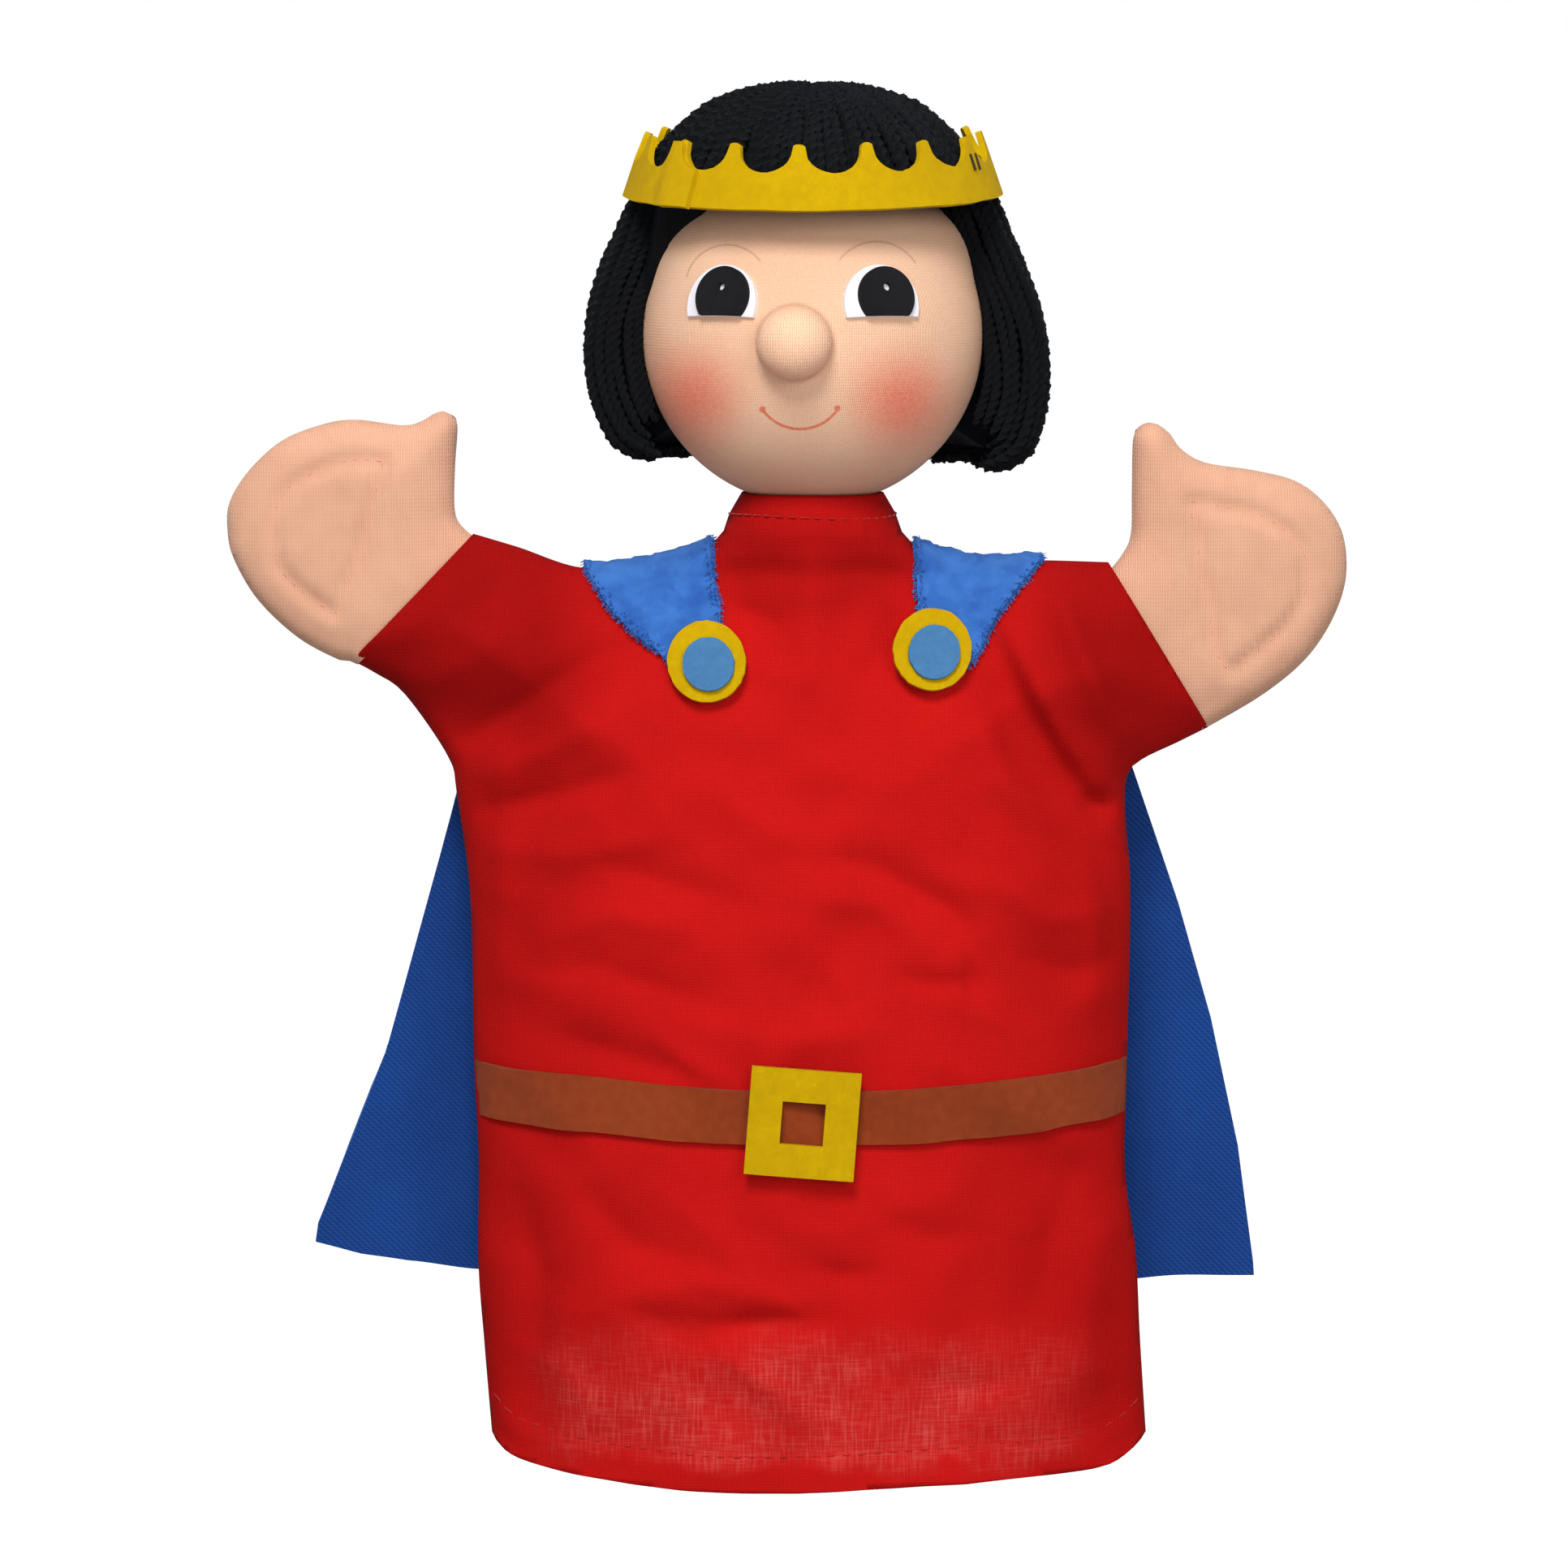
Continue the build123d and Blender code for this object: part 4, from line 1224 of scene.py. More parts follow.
@dataclass
class Trim:
    """Felt and plush pieces that lie on the gown."""

    shape: GownShape
    felt: float = 1.3
    belt_half: float = 5.75
    buckle_at: tuple[float, float, float] = (-2.1, 0.0, 83.6)
    buckle_turn: float = 4.4
    buckle_half: float = 11.4
    buckle_window: float = 4.5
    buckle_lift: float = 2.6
    pile_band: float = 1.5
    pile_radius: float = 0.09
    tufts: int = 4

    def build(self) -> None:
        """Makes the belt, buckle, tabs and clasps."""
        self.belt()
        self.buckle()
        for side, tab, middle in (
            (
                "right",
                (
                    (-20.6, 203.6), (-20.4, 197.5), (-19.1, 186.3), (-19.5, 180.0), (-24.0, 176.0),
                    (-30.0, 179.0), (-32.0, 181.1), (-41.5, 188.9), (-48.3, 198.0),
                ),
                (-22.0, 179.4),
            ),
            (
                "left",
                (
                    (48.8, 199.6), (41.1, 191.4), (35.1, 182.0), (32.0, 178.0), (26.0, 176.0),
                    (22.5, 181.0), (22.2, 188.0), (21.3, 198.0), (20.8, 203.4),
                ),
                (24.8, 181.8),
            ),
        ):
            self.tab(side, tab)
            self.clasp(side, middle)

    def belt(self) -> None:
        """A felt strap round the waist."""
        rail = (
            (-71.0, 87.8), (-45.0, 86.2), (-20.0, 84.6), (0.0, 84.2), (22.0, 84.6), (45.0, 86.2),
            (66.4, 88.4),
        )
        middle = smooth_line(rail, 3.0)
        half = self.belt_half
        low = [(x, z - half) for x, z in middle]
        high = [(x, z + half) for x, z in reversed(middle)]
        sides = self.shape.seams
        low[0], high[-1] = on_seam(sides[0], low[0]), on_seam(sides[0], high[-1])
        low[-1], high[0] = on_seam(sides[3], low[-1]), on_seam(sides[3], high[0])
        strap = self.shape.wrapped([*low, *high], 2.0, self.felt, 0.15, sewn_in=True)
        belt = finish_mesh("belt_felt", strap, BROWN_FELT)
        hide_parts("belt")
        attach(belt, "gown")

    def laid(self, outline: Sequence[Point], pitch: float, lift: float) -> bmesh.types.BMesh:
        """A felt shape laid on the front of the gown."""
        sheet = flat_panel(outline, pitch)
        spread(sheet, lambda x, z: -self.shape.plain(x, z) - lift)
        thicken(sheet, self.felt)
        return sheet

    def buckle(self) -> None:
        """A square felt buckle with a square window."""
        turn = Matrix.Rotation(math.radians(self.buckle_turn), 3, "Y")
        middle, half, window = Vector(self.buckle_at), self.buckle_half, self.buckle_window

        def placed(x: float, z: float) -> Point:
            p = turn @ Vector((x, 0.0, z)) + middle
            return (p.x, p.z)

        corners = ((-half, -half), (half, -half), (half, half), (-half, half))
        sheet = flat_panel([placed(*c) for c in corners], 1.6, self.buckle_turn)
        for cut in (-window, window):
            for direction in (Vector((1, 0, 0)), Vector((0, 0, 1))):
                bmesh.ops.bisect_plane(
                    sheet,
                    geom=sheet.verts[:] + sheet.edges[:] + sheet.faces[:],
                    dist=0.02,
                    plane_co=middle + turn @ (direction * cut),
                    plane_no=turn @ direction,
                )
        back = turn.inverted()
        open_faces = [
            f
            for f in sheet.faces
            if max(abs(c) for c in back @ (f.calc_center_median() - middle)) < window
        ]
        bmesh.ops.delete(sheet, geom=open_faces, context="FACES")
        spread(sheet, lambda x, z: -self.shape.plain(x, z) - self.buckle_lift)
        thicken(sheet, self.felt)
        buckle = finish_mesh("buckle_felt", sheet, YELLOW_FELT)
        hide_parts("buckle")
        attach(buckle, "gown")

    def tab(self, side: str, outline: Sequence[Point]) -> None:
        """A plush tab over one shoulder."""
        seam = self.shape.seams[1 if side == "right" else 2]
        low, high = min(outline[0][0], outline[-1][0]), max(outline[0][0], outline[-1][0])
        ridge = [p for p in seam if low < p[0] < high and p[1] < 203.6]
        drawn = smooth_line(outline, 2.0)
        cloth = self.shape.wrapped([*drawn, *ridge], 1.2, 1.6, 0.1)
        cloth.normal_update()
        for v in cloth.verts:
            pile = noise.noise(v.co * 0.42) + 0.7 * noise.noise(v.co * 1.1)
            v.co += v.normal * (0.45 * pile)
        rng = random.Random(21 if side == "left" else 22)
        tufts = []
        middles = np.array([f.calc_center_median()[:] for f in cloth.faces])
        inward, _ = reach_to(drawn, middles[:, 0], middles[:, 2])
        for face, off in zip(cloth.faces, inward):
            if off > self.pile_band:
                continue
            for _ in range(self.tufts):
                a, b, c = rng.random(), rng.random(), rng.random()
                corners = [v.co for v in face.verts[:3]]
                root = (corners[0] * a + corners[1] * b + corners[2] * c) / (a + b + c)
                lean = Vector((rng.gauss(0, 0.5), rng.gauss(0, 0.3), rng.gauss(-0.3, 0.5)))
                way = (face.normal + lean).normalized()
                reach = rng.uniform(0.4, 1.1)
                tip = root + way * reach + Vector((0, 0, -0.15 * reach))
                tufts.append([root - face.normal * 0.2, root + way * reach * 0.5, tip])
        pile = thread_runs(f"shoulder_pile_{side}", tufts, self.pile_radius, PLUSH)
        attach(pile, "gown")
        tab = finish_mesh(f"shoulder_plush_{side}", cloth, PLUSH)
        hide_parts(f"shoulder_tab_{side}")
        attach(tab, "gown")

    def clasp(self, side: str, middle: Point) -> None:
        """Two felt discs, one on the other."""
        rng = random.Random(11 if side == "left" else 12)
        for part, radius, lift, finish in (
            ("rim", 8.2, 2.1, YELLOW_FELT),
            ("centre", 5.4, 3.4, BLUE_FELT),
        ):
            shift = 0.4 if part == "centre" else 0.0
            disc = [
                (
                    middle[0] + shift + (radius + rng.uniform(-0.1, 0.1)) * math.cos(a),
                    middle[1] - shift + (radius + rng.uniform(-0.1, 0.1)) * math.sin(a),
                )
                for a in np.arange(48) * math.tau / 48
            ]
            felt = self.laid(disc, 1.5, lift)
            piece = finish_mesh(f"clasp_felt_{part}_{side}", felt, finish)
            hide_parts(f"clasp_{part}_{side}")
            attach(piece, "gown")


def on_seam(seam: Sequence[Point], near: Point) -> Point:
    """The seam's point at a height."""
    nearest = sorted(seam, key=lambda p: abs(p[1] - near[1]))[:2]
    (ax, az), (bx, bz) = nearest
    share = 0.0 if abs(bz - az) < 1e-9 else (near[1] - az) / (bz - az)
    return (ax + share * (bx - ax), near[1])


# ---- Cape ---------------------------------------------------------------------------------------


@dataclass
class Cape:
    """The cape: blue twill inside, plush outside, sewn on along the shoulders."""

    shape: GownShape
    outline: tuple[Point, ...] = (
        (14.0, 196.5), (0.0, 195.0), (-14.0, 196.5), (-20.9, 202.6), (-34.0, 198.4), (-48.0, 197.2),
        (-76.0, 149.2), (-92.6, 90.5), (-107.4, 53.0), (-108.0, 48.9), (-98.3, 46.1), (-88.3, 44.4),
        (-73.3, 43.2), (-41.0, 41.5), (0.0, 40.7), (41.5, 40.3), (72.0, 40.7), (96.6, 41.3),
        (96.4, 44.2), (92.8, 70.2), (86.6, 98.5), (79.4, 123.2), (69.0, 153.5), (48.0, 198.0),
        (34.0, 198.7), (21.0, 202.2),
    )
    thickness: float = 1.2
    top: float = 197.0
    stand_off: float = 25.1
    slope: float = 3.0
    on_back: float = 180.0
    over_tab: float = 2.7
    drop: float = 150.0
    bow: float = 1800.0
    wave: float = 2.6
    wide_wave: float = 47.0
    narrow_wave: float = 27.0

    def lies(self, x: np.ndarray, z: np.ndarray) -> np.ndarray:
        """Y of the cape's inner side."""
        down = np.clip((self.top - z) / self.drop, 0, 1)
        y = self.stand_off + (self.top - z) * math.tan(math.radians(self.slope)) - x**2 / self.bow
        wide = np.cos(x * math.tau / self.wide_wave + 0.6)
        waves = wide + 0.5 * np.cos(x * math.tau / self.narrow_wave + z * 0.02)
        y = y + self.wave * down**0.8 * waves
        near = np.clip((z - self.on_back) / (self.top + 4.0 - self.on_back), 0, 1)
        near = eased(near)
        return y * (1 - near) + (self.shape.plain(x, z) + self.over_tab) * near

    def build(self) -> None:
        """Makes the cape, twill inside and plush outside."""
        sheet = flat_panel(self.outline, 3.0)
        area = sum(f.calc_area() for f in sheet.faces) * MM * MM
        spread(sheet, self.lies)
        sheet.normal_update()
        bmesh.ops.solidify(sheet, geom=sheet.faces[:], thickness=self.thickness)
        bmesh.ops.recalc_face_normals(sheet, faces=sheet.faces[:])
        for face in sheet.faces:
            face.material_index = 0 if face.normal.y < -0.5 else 1
        cape = finish_mesh("cape_cloth", sheet, TWILL, PLUSH, record_slot="blue_plush")
        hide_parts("cape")
        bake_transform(cape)


# ---- Hands --------------------------------------------------------------------------------------


@dataclass
class Hand:
    """A padded mitten with a quilted half round, thumb towards the head.

    Attributes:
        side: The puppet's own side.
        wrist: Middle of the wrist line.
        aim: Degrees that the hand points up.
        edge: The outline from the wrist, thumb side first (out, towards the thumb).
        arc: The quilting's curved line, seen from the front.
        chord: The quilting's nearly straight line.
        half_depth: Half the hand's thickness at its middle.
        half_round: How far in from the edge the padding reaches that thickness.
        fullness: How blunt the padded edge is, less for a blunter one.
        groove: Depth and half width of the quilting's grooves.
        cloth: The cloth's thickness.
        bend: How far past the wrist the cloth was to follow the sleeve; not used.
        pitch: Size of the grid's squares.
    """

    side: str
    wrist: Point
    aim: float
    edge: tuple[Point, ...]
    arc: tuple[Point, ...]
    chord: tuple[Point, ...]
    half_depth: float = 6.9
    half_round: float = 13.0
    fullness: float = 0.55
    groove: float = 1.5
    cloth: float = 0.8
    bend: float = 9.0
    pitch: float = 1.4

    def lies(self, x: np.ndarray, z: np.ndarray) -> np.ndarray:
        """Half the hand's thickness at points."""
        off, _ = reach_to(self.sewn_edge(), x, z)
        share = np.clip(off / self.half_round, 0, 1)
        deep = self.half_depth * (1 - (1 - share) ** 2) ** self.fullness
        curve = np.min([reach_to(smooth_line(s), x, z)[0] for s in (self.arc, self.chord)], axis=0)
        groove = self.groove * np.exp(-((curve / self.groove) ** 2))
        rim = 0.35 * np.exp(-(((off - 2.2) / 1.3) ** 2))
        soft = noise_at(x * 0.07, z * 0.07, 9.0)
        inside = np.clip(off / 4, 0, 1)
        return np.maximum(deep + (soft * 0.6 - groove) * inside + rim * np.clip(off, 0, 1), 0.0)

    def sewn_edge(self) -> list[Point]:
        """The outline in place, without the wrist."""
        sign = 1 if self.side == "left" else -1
        aim = math.radians(self.aim)
        away = (sign * math.cos(aim), math.sin(aim))
        along = (-sign * away[1], sign * away[0])
        placed = [
            (self.wrist[0] + u * away[0] + v * along[0], self.wrist[1] + u * away[1] + v * along[1])
            for u, v in self.edge
        ]
        return smooth_line(placed, 1.5)

    def build(self) -> None:
        """Makes the hand and its stitches."""
        outline = self.sewn_edge()
        sheets = []
        for side in (FRONT, BACK):
            sheet = flat_panel(outline, self.pitch)
            if side == BACK:
                bmesh.ops.reverse_faces(sheet, faces=sheet.faces[:])
            spread(sheet, lambda x, z, s=side: s * self.lies(x, z))
            sheets.append(sheet)
        whole = joined(sheets, weld=0.05)
        bmesh.ops.solidify(whole, geom=whole.faces[:], thickness=self.cloth)
        hand = finish_mesh(f"hand_fleece_{self.side}", whole, FLEECE)
        hidden = ("hand_front", "hand_back", "hand_wadding")
        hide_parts(*(f"{node}_{self.side}" for node in hidden))
        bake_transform(hand)
        runs = []
        for side in (FRONT, BACK):
            for line in (self.arc, self.chord):
                for at, run in along_line(smooth_line(line, 1.0), 2.5):
                    ends = [at + run * t for t in (0.0, 0.5, 1.1, 1.6)]
                    deep = self.lies(np.array([p.x for p in ends]), np.array([p.y for p in ends]))
                    lifts = (-0.25, 0.1, 0.1, -0.25)
                    runs.append(
                        [Vector((p.x, side * (d + o), p.y)) for p, d, o in zip(ends, deep, lifts)]
                    )
        stitches = thread_runs(f"hand_stitches_{self.side}", runs, 0.15, SKIN_THREAD)
        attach(stitches, f"hand_{self.side}")


RIGHT_HAND = Hand(
    side="right",
    wrist=(-84.0, 191.0),
    aim=45.0,
    edge=(
        (-1.0, 18.7), (4.3, 18.4), (7.7, 20.0), (13.7, 26.2), (19.4, 32.7), (21.6, 33.6),
        (23.6, 32.9), (24.8, 30.8), (25.5, 28.0), (27.7, 24.6), (35.4, 18.6), (39.6, 13.1),
        (43.3, 4.6), (43.9, -4.5), (42.2, -12.4), (38.3, -17.1), (33.1, -20.5), (23.4, -23.1),
        (11.8, -22.8), (2.3, -20.0), (0.6, -18.6), (-1.0, -18.0),
    ),
    arc=(
        (-90.0, 220.7), (-96.5, 221.0), (-103.4, 218.9), (-110.3, 214.7), (-112.8, 207.8),
        (-112.0, 199.2), (-107.7, 194.0), (-100.3, 188.5),
    ),
    chord=((-90.0, 220.7), (-93.9, 204.3), (-100.3, 188.5)),
)
LEFT_HAND = Hand(
    side="left",
    wrist=(72.8, 180.7),
    aim=32.5,
    edge=(
        (-1.0, 19.2), (4.5, 21.1), (8.3, 23.8), (13.5, 31.7), (19.2, 40.3), (21.7, 41.9),
        (24.0, 41.5), (25.3, 40.2), (26.4, 37.2), (26.7, 33.2), (29.4, 28.1), (37.2, 21.2),
        (43.3, 14.7), (46.0, 7.9), (46.1, 0.7), (43.4, -5.8), (39.0, -11.1), (32.0, -15.8),
        (23.9, -18.8), (13.0, -20.0), (-1.0, -19.5),
    ),
    arc=(
        (79.0, 212.4), (87.0, 211.0), (94.4, 209.2), (102.2, 203.0), (103.4, 194.0), (98.7, 185.4),
        (87.9, 176.5),
    ),
    chord=((79.0, 212.4), (80.7, 202.6), (83.0, 190.0), (85.0, 180.3), (87.9, 176.5)),
)


# ---- Head ---------------------------------------------------------------------------------------


@dataclass
class Head:
    """The face: a knitted cover over a ball and a bead, with felt eyes from the part."""

    middle: Vector = field(default_factory=lambda: Vector((0.0, 0.0, 246.94)))
    radius: float = 35.75
    nose_out: float = 37.6
    nose_radius: float = 7.75
    nose_drop: float = 0.5
    nose_turn: float = -1.5
    turn: float = -4.5
    fillet: float = 2.6
    brow_swell: float = 0.1
    brow_low: float = 9.0
    brow_rise: float = 16.0
    steps: int = 160

    def profile(self) -> list[Point]:
        """The skin's outline from the nose's tip to the back: distance out, and along the nose."""
        points: list[Point] = []
        reach = math.asin(self.nose_radius / self.nose_out)
        for angle in np.concatenate(
            (np.linspace(0, 0.42, 58), np.linspace(0.45, math.pi - 0.02, 96))
        ):
            a = float(angle)
            sphere = self.radius
            if a < reach:
                under = self.nose_radius**2 - (self.nose_out * math.sin(a)) ** 2
                bead = self.nose_out * math.cos(a) + math.sqrt(max(under, 0.0))
            else:
                bead = self.nose_out * math.cos(reach) - 90.0 * (a - reach)
            k = self.fillet
            mix = min(max(0.5 + 0.5 * (bead - sphere) / k, 0.0), 1.0)
            r = sphere + (bead - sphere) * mix + k * mix * (1 - mix)
            points.append((r * math.sin(a), r * math.cos(a)))
        return points

    def build(self) -> None:
        """Makes the skin."""
        bm = lathe(self.profile(), self.steps)
        bmesh.ops.remove_doubles(bm, verts=bm.verts, dist=0.004)
        holes = [e for e in bm.edges if e.is_boundary]
        bmesh.ops.contextual_create(bm, geom=holes)
        bmesh.ops.recalc_face_normals(bm, faces=bm.faces)
        drop = math.asin(self.nose_drop / self.nose_out)
        aim = Matrix.Rotation(math.radians(self.turn + self.nose_turn), 3, "Z") @ Matrix.Rotation(
            math.pi / 2 + drop, 3, "X"
        )
        placed = Matrix.Translation(self.middle) @ aim.to_4x4()
        bmesh.ops.transform(bm, matrix=placed, verts=bm.verts)
        for v in bm.verts:
            rise = (v.co.z - self.middle.z - self.brow_low) / self.brow_rise
            v.co.x *= 1.0 + self.brow_swell * eased(min(max(rise, 0.0), 1.0))
        uv = bm.loops.layers.uv.new("knit")
        for face in bm.faces:
            middle = face.calc_center_median() - self.middle
            facing = math.atan2(middle.x, -middle.y)
            for loop in face.loops:
                way = loop.vert.co - self.middle
                flat = math.hypot(way.x, way.y)
                angle = math.atan2(way.x, -way.y) if flat > 1e-6 else facing
                if angle - facing > math.pi:
                    angle -= math.tau
                elif facing - angle > math.pi:
                    angle += math.tau
                loop[uv].uv = (angle / math.tau, math.atan2(way.z, flat) / math.pi)
        skin = finish_mesh("head_skin", bm, STOCKING)
        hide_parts("head_cover")
        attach(skin, "head")


# ---- Crown --------------------------------------------------------------------------------------


@dataclass
class Crown:
    """A leaning felt band with sixteen round-cut points, lapped over itself at one side."""

    middle: Vector = field(default_factory=lambda: Vector((0.0, 0.0, 275.95)))
    radius: float = 38.6
    height: float = 14.0
    lean: float = 20.0
    tilt: float = 4.5
    turn: float = -4.5
    teeth: int = 16
    scallop: float = 5.45
    sink: float = 0.7
    felt: float = 1.3
    lap_at: float = -46.0
    lap: float = 12.0

    def edge(self, degrees: float) -> float:
        """Height of the cut edge, at degrees round from the front."""
        pitch = 360.0 / self.teeth
        round_at = self.radius - math.sin(math.radians(self.lean)) * self.height
        from_cut = abs(((degrees / pitch) % 1.0) - 0.5) * math.radians(pitch) * round_at
        from_point = math.radians(pitch) * round_at / 2 - from_cut
        top = self.height - 0.3 * min(from_point, 1.8) ** 2
        if from_cut < self.scallop:
            cut = self.height - self.sink - math.sqrt(self.scallop**2 - from_cut**2)
            return min(top, cut)
        return top

    def build(self) -> None:
        """Makes the crown."""
        rng = random.Random(3)
        start, end = self.lap_at, self.lap_at + 360.0 + self.lap
        round_mm = math.radians(1.0) * self.radius
        wave = [rng.uniform(-0.15, 0.15) for _ in range(48)]
        turns = np.arange(start, end, 0.75)
        low = [(float(a) * round_mm, wave[int(a / 9) % 48]) for a in np.arange(start, end, 4.5)]
        high = [
            (float(a) * round_mm, self.edge(float(a)) + wave[int(a / 5) % 48]) for a in turns[::-1]
        ]
        sheet = flat_panel([*low, (float(turns[-1]) * round_mm, 0.0), *high], 1.7)
        lean = math.radians(self.lean)
        aim = (
            Matrix.Translation(self.middle)
            @ Matrix.Rotation(math.radians(self.turn), 4, "Z")
            @ Matrix.Rotation(math.radians(self.tilt), 4, "X")
        )
        for v in sheet.verts:
            degrees = v.co.x / round_mm
            lapped = min(max((degrees - (end - self.lap - 5.0)) / 5.0, 0.0), 1.0)
            sway = 0.45 * math.sin(math.radians(degrees) * 5 + 1) + 0.3 * math.sin(degrees * 0.21)
            out = self.radius - math.sin(lean) * v.co.z + (self.felt + 0.15) * lapped
            out += sway * v.co.z / self.height
            a = math.radians(degrees)
            rise = math.cos(lean) * v.co.z
            v.co = aim @ Vector((out * math.sin(a), -out * math.cos(a), rise))
        thicken(sheet, self.felt)
        crown = finish_mesh("crown_felt", sheet, YELLOW_FELT)
        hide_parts("crown")
        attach(crown, "head")


# ---- Hair ---------------------------------------------------------------------------------------


@dataclass
class Hair:
    """Strands of black wool from the parting down to a bob, and the dark base under them."""

    middle: Vector = field(default_factory=lambda: Vector((0.0, 0.0, 246.94)))
    strand: float = 1.22
    strands: int = 132
    turn_length: float = 7.0
    step: float = 1.3
    face_half: float = 79.0
    packed_to: float = 104.0
    skin: float = 36.6
    crown_angle: float = 50.5
    cap_sink: float = 2.4
    cap_inside: float = 36.4
    seed: int = 5

    def reach(self, angle: float, azimuth: float) -> float:
        """Distance of the wool's outside from the head's middle.

        Args:
            angle: Degrees from straight up.
            azimuth: Degrees round from the front, above zero on the puppet's left.

        Returns:
            The distance.
        """
        degrees = (0, 12, 25, 40, 53, 63, 74, 94, 107, 118, 124, 129, 134)
        left = (53.0, 53.2, 53.4, 51.2, 48.0, 46.6, 47.0, 50.0, 51.6, 52.4, 50.0, 46.0, 41.0)
        right = (53.0, 53.2, 53.4, 51.2, 48.0, 46.6, 46.9, 48.4, 48.9, 48.4, 46.0, 42.6, 39.0)
        share = 0.5 + 0.5 * math.sin(math.radians(azimuth))
        return share * float(np.interp(angle, degrees, left)) + (1 - share) * float(
            np.interp(angle, degrees, right)
        )

    def place(self, azimuth: float, angle: float, sink: float) -> Vector:
        """A point in the wool: degrees round from the front, degrees from straight up."""
        out = max(self.reach(angle, azimuth) - sink, self.skin + self.strand * 0.4)
        a, e = math.radians(azimuth), math.radians(angle)
        side = out * math.sin(e)
        return self.middle + Vector((side * math.sin(a), -side * math.cos(a), out * math.cos(e)))

    def base(self) -> None:
        """The dark cap under the strands, open over the face."""

        def across(out: float, degrees: float) -> Point:
            a = math.radians(degrees)
            return (out * math.sin(a), out * math.cos(a))

        outer = [0.5, 8, 16, 24, 32, 40, 48, 56, 64, 72, 80, 88, 96, 104, 112, 118, 123]
        inner = [123, 112, 100, 88, 76, 64, 52, 40, 28, 16, 0.5]
        profile = [across(self.reach(a, -90) - self.cap_sink, a) for a in outer]
        profile += [across(self.cap_inside, a) for a in inner]
        bm = lathe(profile, 72)
        bmesh.ops.contextual_create(bm, geom=[e for e in bm.edges if e.is_boundary])
        bmesh.ops.transform(bm, matrix=Matrix.Translation(self.middle), verts=bm.verts)
        bmesh.ops.recalc_face_normals(bm, faces=bm.faces)
        face = [
            f
            for f in bm.faces
            if f.calc_center_median().y < 7.0 and f.calc_center_median().z < 276.5
        ]
        bmesh.ops.delete(bm, geom=face, context="FACES")
        rims = [e for e in bm.edges if e.is_boundary]
        bmesh.ops.holes_fill(bm, edges=rims, sides=0)
        base = finish_mesh("hair_base", bm, YARN)
        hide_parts("hair_top", "hair_back", "hair_left", "hair_right")
        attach(base, "head")

    def path(
        self, azimuth: float, rng: random.Random, sink: float, start: float, last: float
    ) -> list[Vector]:
        """One strand.

        Args:
            azimuth: Degrees round from the front.
            rng: Source of the small differences between strands.
            sink: How deep it lies under the wool's outside.
            start: Where it starts, in degrees from straight up.
            last: Where it ends.

        Returns:
            Its points.
        """
        drift = rng.uniform(-1.4, 1.4)
        phase, sway = rng.uniform(0, math.tau), rng.uniform(0.2, 1.0)
        depth = rng.uniform(-0.25, 0.35)
        points = []
        angle = start
        while angle < last:
            share = (angle - start) / (last - start)
            swing = drift * share + sway * math.sin(phase + 5 * share)
            wobble = depth + 0.3 * math.sin(phase + 13 * share)
            points.append(self.place(azimuth + swing, angle, sink + wobble))
            angle += math.degrees(self.step / 50.0)
        return points

    def build(self) -> None:
        """Makes the base and the strands, in pieces."""
        self.base()
        rng = random.Random(self.seed)
        groups: dict[str, list[list[Vector]]] = {"top": [], "left": [], "right": [], "back": []}
        for layer in (0, 1):
            count = self.strands - 12 * layer
            for number in range(count):
                azimuth = -180.0 + 360.0 * (number + 0.5 * layer) / count + rng.uniform(-0.5, 0.5)
                sink = self.strand * (1.0 + 1.4 * layer)
                start = 2.0 + 7.0 * rng.random()
                if abs(azimuth) < self.face_half:
                    groups["top"].append(self.path(azimuth, rng, sink, start, self.crown_angle))
                    continue
                last = 126.5 + rng.uniform(-3.0, 3.0)
                if abs(azimuth) > 128:
                    name = "back"
                else:
                    name = "left" if azimuth > 0 else "right"
                groups[name].append(self.path(azimuth, rng, sink, start, last))
        for sign, name in ((1, "left"), (-1, "right")):
            for layer in range(2, 7):
                azimuth = self.face_half + 0.6 * layer
                while azimuth < self.packed_to:
                    sink = self.strand * 1.7 * (layer + 0.3)
                    last = 126.5 - 1.7 * layer + rng.uniform(-2.5, 2.5)
                    turned = sign * (azimuth + rng.uniform(-0.4, 0.4))
                    groups[name].append(self.path(turned, rng, sink, 47.0, last))
                    azimuth += 3.4
        for name, paths in groups.items():
            piece = self.yarn(f"hair_strands_{name}", paths, rng)
            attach(piece, "head")

    def yarn(
        self, name: str, paths: Sequence[Sequence[Vector]], rng: random.Random
    ) -> bpy.types.Object:
        """Three-ply yarn along each path."""
        ring = bpy.data.curves.new(name + "_ply", "CURVE")
        ring.dimensions = "2D"
        loop = ring.splines.new("POLY")
        corners = 9
        loop.points.add(corners - 1)
        for number, point in enumerate(loop.points):
            a = math.tau * number / corners
            r = self.strand * (0.86 + 0.2 * math.cos(3 * a)) * MM
            point.co = (r * math.cos(a), r * math.sin(a), 0.0, 1.0)
        loop.use_cyclic_u = True
        ring_object = linked(name + "_ply", ring)
        curve = bpy.data.curves.new(name, "CURVE")
        curve.dimensions = "3D"
        curve.bevel_mode = "OBJECT"
        curve.bevel_object = ring_object
        curve.use_fill_caps = True
        curve.twist_mode = "MINIMUM"
        for path in paths:
            if len(path) < 3:
                continue
            spline = curve.splines.new("POLY")
            spline.points.add(len(path) - 1)
            offset = rng.uniform(0, math.tau)
            for number, (point, place) in enumerate(zip(spline.points, path)):
                point.co = (*(place * MM), 1.0)
                point.tilt = offset + math.tau * number * self.step / self.turn_length
                end = min(number, len(path) - 1 - number)
                point.radius = min(1.0, 0.55 + 0.2 * end) * (0.95 + 0.1 * rng.random())
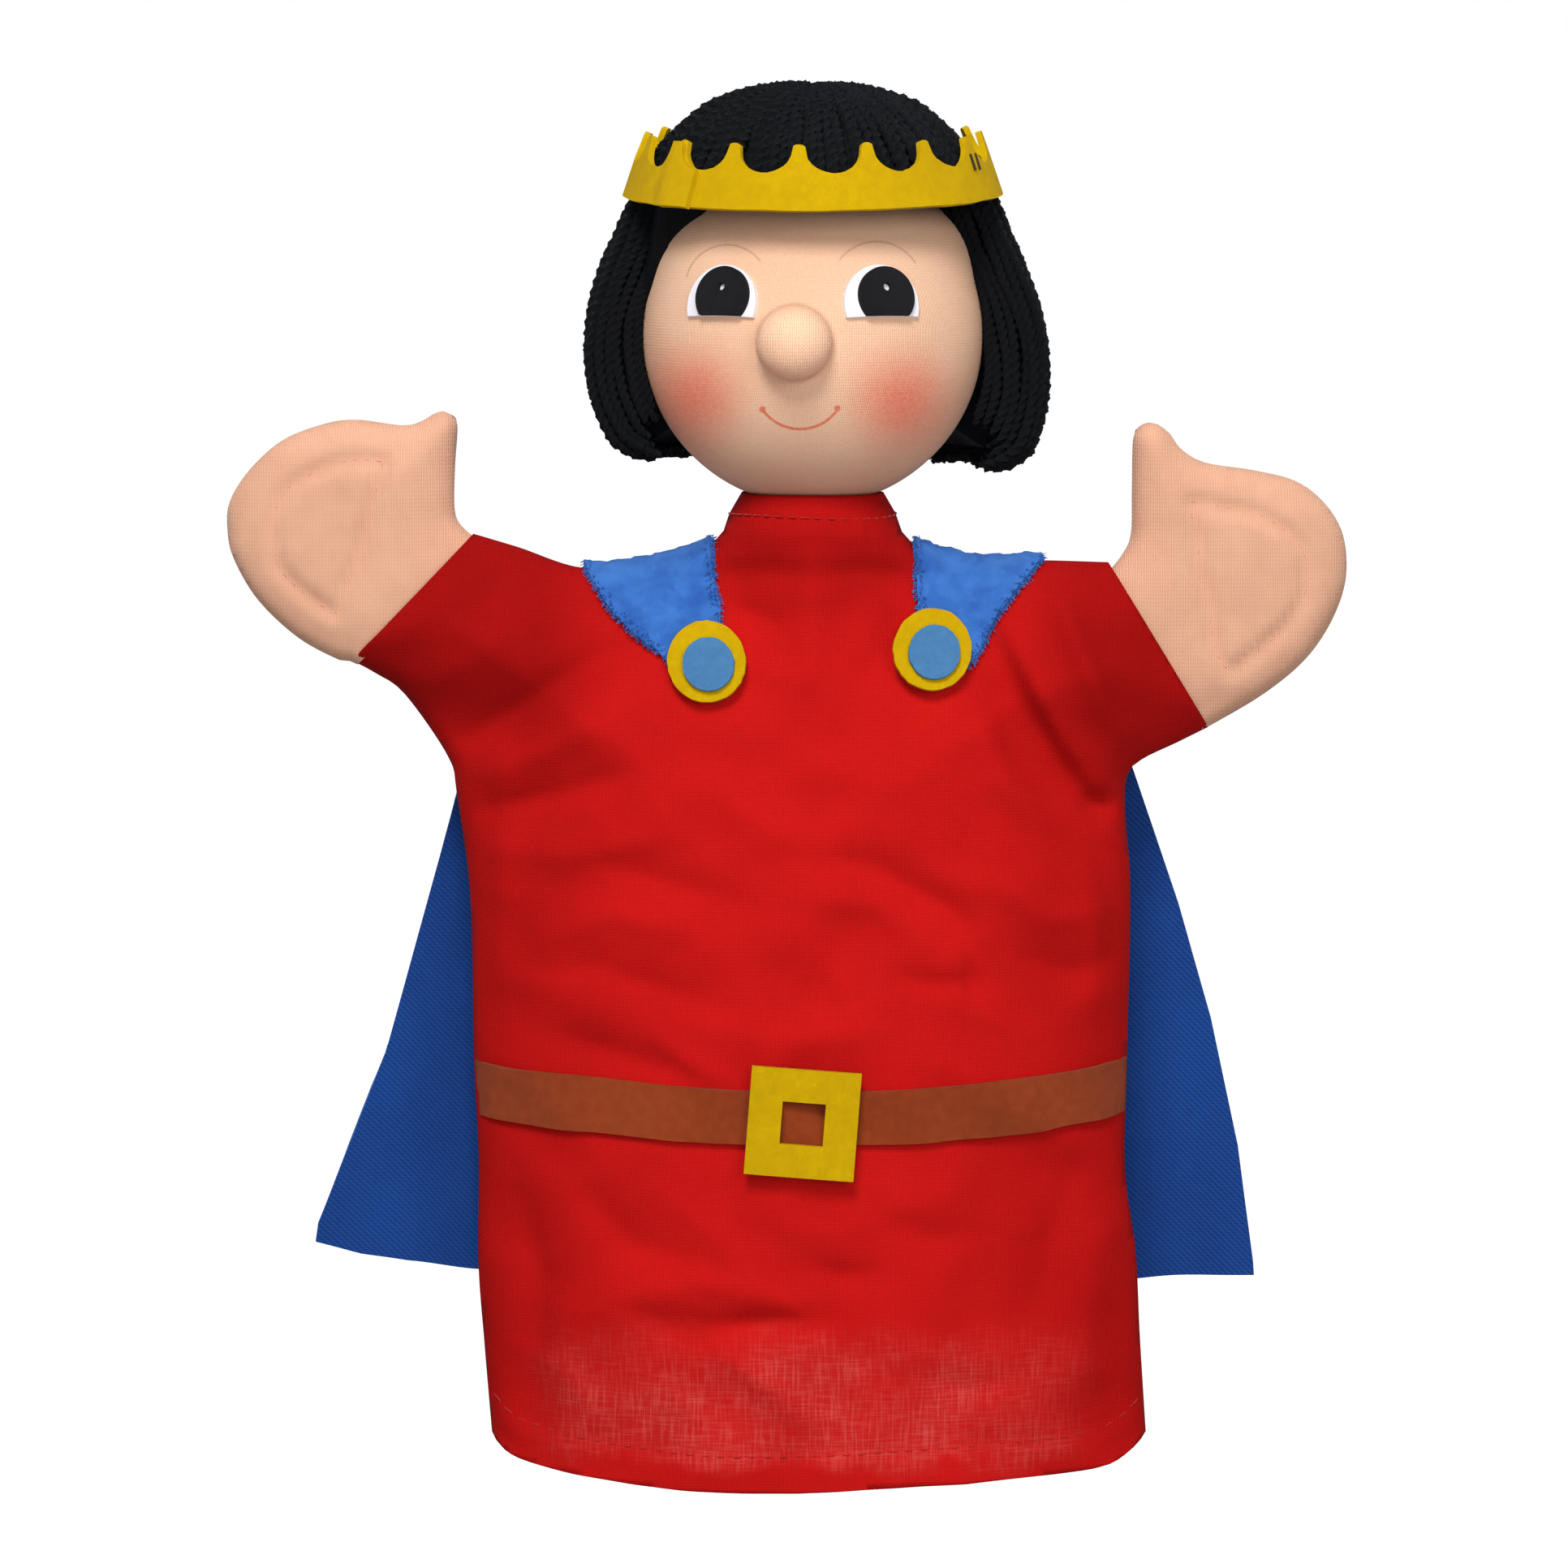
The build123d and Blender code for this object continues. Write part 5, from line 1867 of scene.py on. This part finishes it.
        piece = curve_to_mesh(name, curve, YARN)
        bpy.data.objects.remove(ring_object)
        return piece


# ---- Pieces that keep the part's own shape ------------------------------------------------------

KEPT: dict[str, Finish] = {
    "crown_stitch": DARK_THREAD,
    "eye_white_left": WHITE_FELT,
    "eye_white_right": WHITE_FELT,
    "pupil_left": BLACK_FELT,
    "pupil_right": BLACK_FELT,
    "head_ball": FOAM,
    "nose_bead": BEAD,
    "neck_tube": CARD,
    "neck_tie": PALE_THREAD,
    "collar_cord": CORD,
}


def dress_kept() -> None:
    """Gives the part's own pieces their finishes."""
    for node, finish in KEPT.items():
        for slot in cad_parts[node].material_slots:
            slot.material = finish.material()


# ---- Studio -------------------------------------------------------------------------------------


@dataclass(frozen=True)
class Lamp:
    """A soft rectangular light: where it is and aims, its size and its power."""

    name: str
    at: tuple[float, float, float]
    size: float
    power: float
    colour: tuple[float, float, float] = (1.0, 1.0, 1.0)


@dataclass
class Studio:
    """A white sweep, soft lights and the camera, in metres."""

    middle: Vector = field(default_factory=lambda: Vector((-0.0060, 0.0, 0.1522)))
    distance: float = 1.25
    seen_width: float = 0.3316
    above: float = 6.0
    floor: float = -0.06
    glow: float = 0.24
    lamps: tuple[Lamp, ...] = (
        Lamp("key", (-0.15, -0.95, 1.05), 0.4, 13.0),
        Lamp("second", (0.45, -1.15, 0.55), 0.45, 4.5),
        Lamp("front", (-0.1, -1.4, 0.2), 0.5, 3.5),
        Lamp("top", (0.0, 0.15, 1.3), 0.6, 4.0),
        Lamp("back_left", (-0.9, 0.9, 0.6), 0.8, 2.5),
        Lamp("back_right", (0.9, 0.9, 0.6), 0.8, 2.5),
    )

    def lit(self, tree: bpy.types.NodeTree, strength: Socket) -> None:
        """Makes a surface white to the camera and only softly bright to everything else."""
        g = Graph(tree)
        seen = g.add("ShaderNodeLightPath").outputs["Is Camera Ray"]
        g.feed(strength, g.ramp(seen, 0.0, 1.0, (self.glow, 1.0)))

    def build(self) -> None:
        """Makes the sweep, lights and camera."""
        bm = bmesh.new()
        bmesh.ops.create_circle(bm, cap_ends=True, radius=6000.0, segments=64)
        bmesh.ops.translate(bm, verts=bm.verts, vec=(0, 0, self.floor / MM))
        mesh = bpy.data.meshes.new("floor")
        bmesh.ops.transform(bm, matrix=Matrix.Scale(MM, 4), verts=bm.verts)
        bm.to_mesh(mesh)
        bm.free()
        floor = linked("floor", mesh)
        pale = bpy.data.materials.new("pale_floor")
        pale.use_nodes = True
        shader = pale.node_tree.nodes["Principled BSDF"]
        shader.inputs["Base Color"].default_value = (0.1, 0.1, 0.1, 1.0)
        shader.inputs["Roughness"].default_value = 0.9
        shader.inputs["Emission Color"].default_value = (1.0, 1.0, 1.0, 1.0)
        self.lit(pale.node_tree, shader.inputs["Emission Strength"])
        mesh.materials.append(pale)
        world = bpy.data.worlds.new("studio")
        world.use_nodes = True
        back = world.node_tree.nodes["Background"]
        back.inputs[0].default_value = (1.0, 1.0, 1.0, 1.0)
        self.lit(world.node_tree, back.inputs[1])
        bpy.context.scene.world = world
        bpy.context.scene.view_settings.view_transform = "Standard"
        for lamp in self.lamps:
            light = bpy.data.lights.new(lamp.name, "AREA")
            light.shape = "SQUARE"
            light.size = lamp.size
            light.energy = lamp.power
            light.color = lamp.colour
            holder = linked(lamp.name, light)
            holder.location = lamp.at
            towards = self.middle - Vector(lamp.at)
            holder.rotation_euler = towards.to_track_quat("-Z", "Y").to_euler()
        camera = bpy.data.cameras.new("camera")
        camera.sensor_width = 36.0
        camera.lens = 36.0 * self.distance / self.seen_width
        camera.dof.use_dof = False
        holder = linked("camera", camera)
        above = math.radians(self.above)
        away = Vector((0.0, -math.cos(above), math.sin(above)))
        holder.location = self.middle + away * self.distance
        holder.rotation_euler = Euler((math.pi / 2 - above, 0.0, 0.0))
        bpy.context.scene.camera = holder


def main() -> None:
    """Builds the studio and the puppet."""
    logging.basicConfig(level=logging.INFO, format="%(message)s")
    Studio().build()
    shape = GownShape()
    Gown(shape).build()
    Trim(shape).build()
    Cape(shape).build()
    RIGHT_HAND.build()
    LEFT_HAND.build()
    Head().build()
    Crown().build()
    Hair().build()
    dress_kept()


if __name__ == "__main__":
    main()
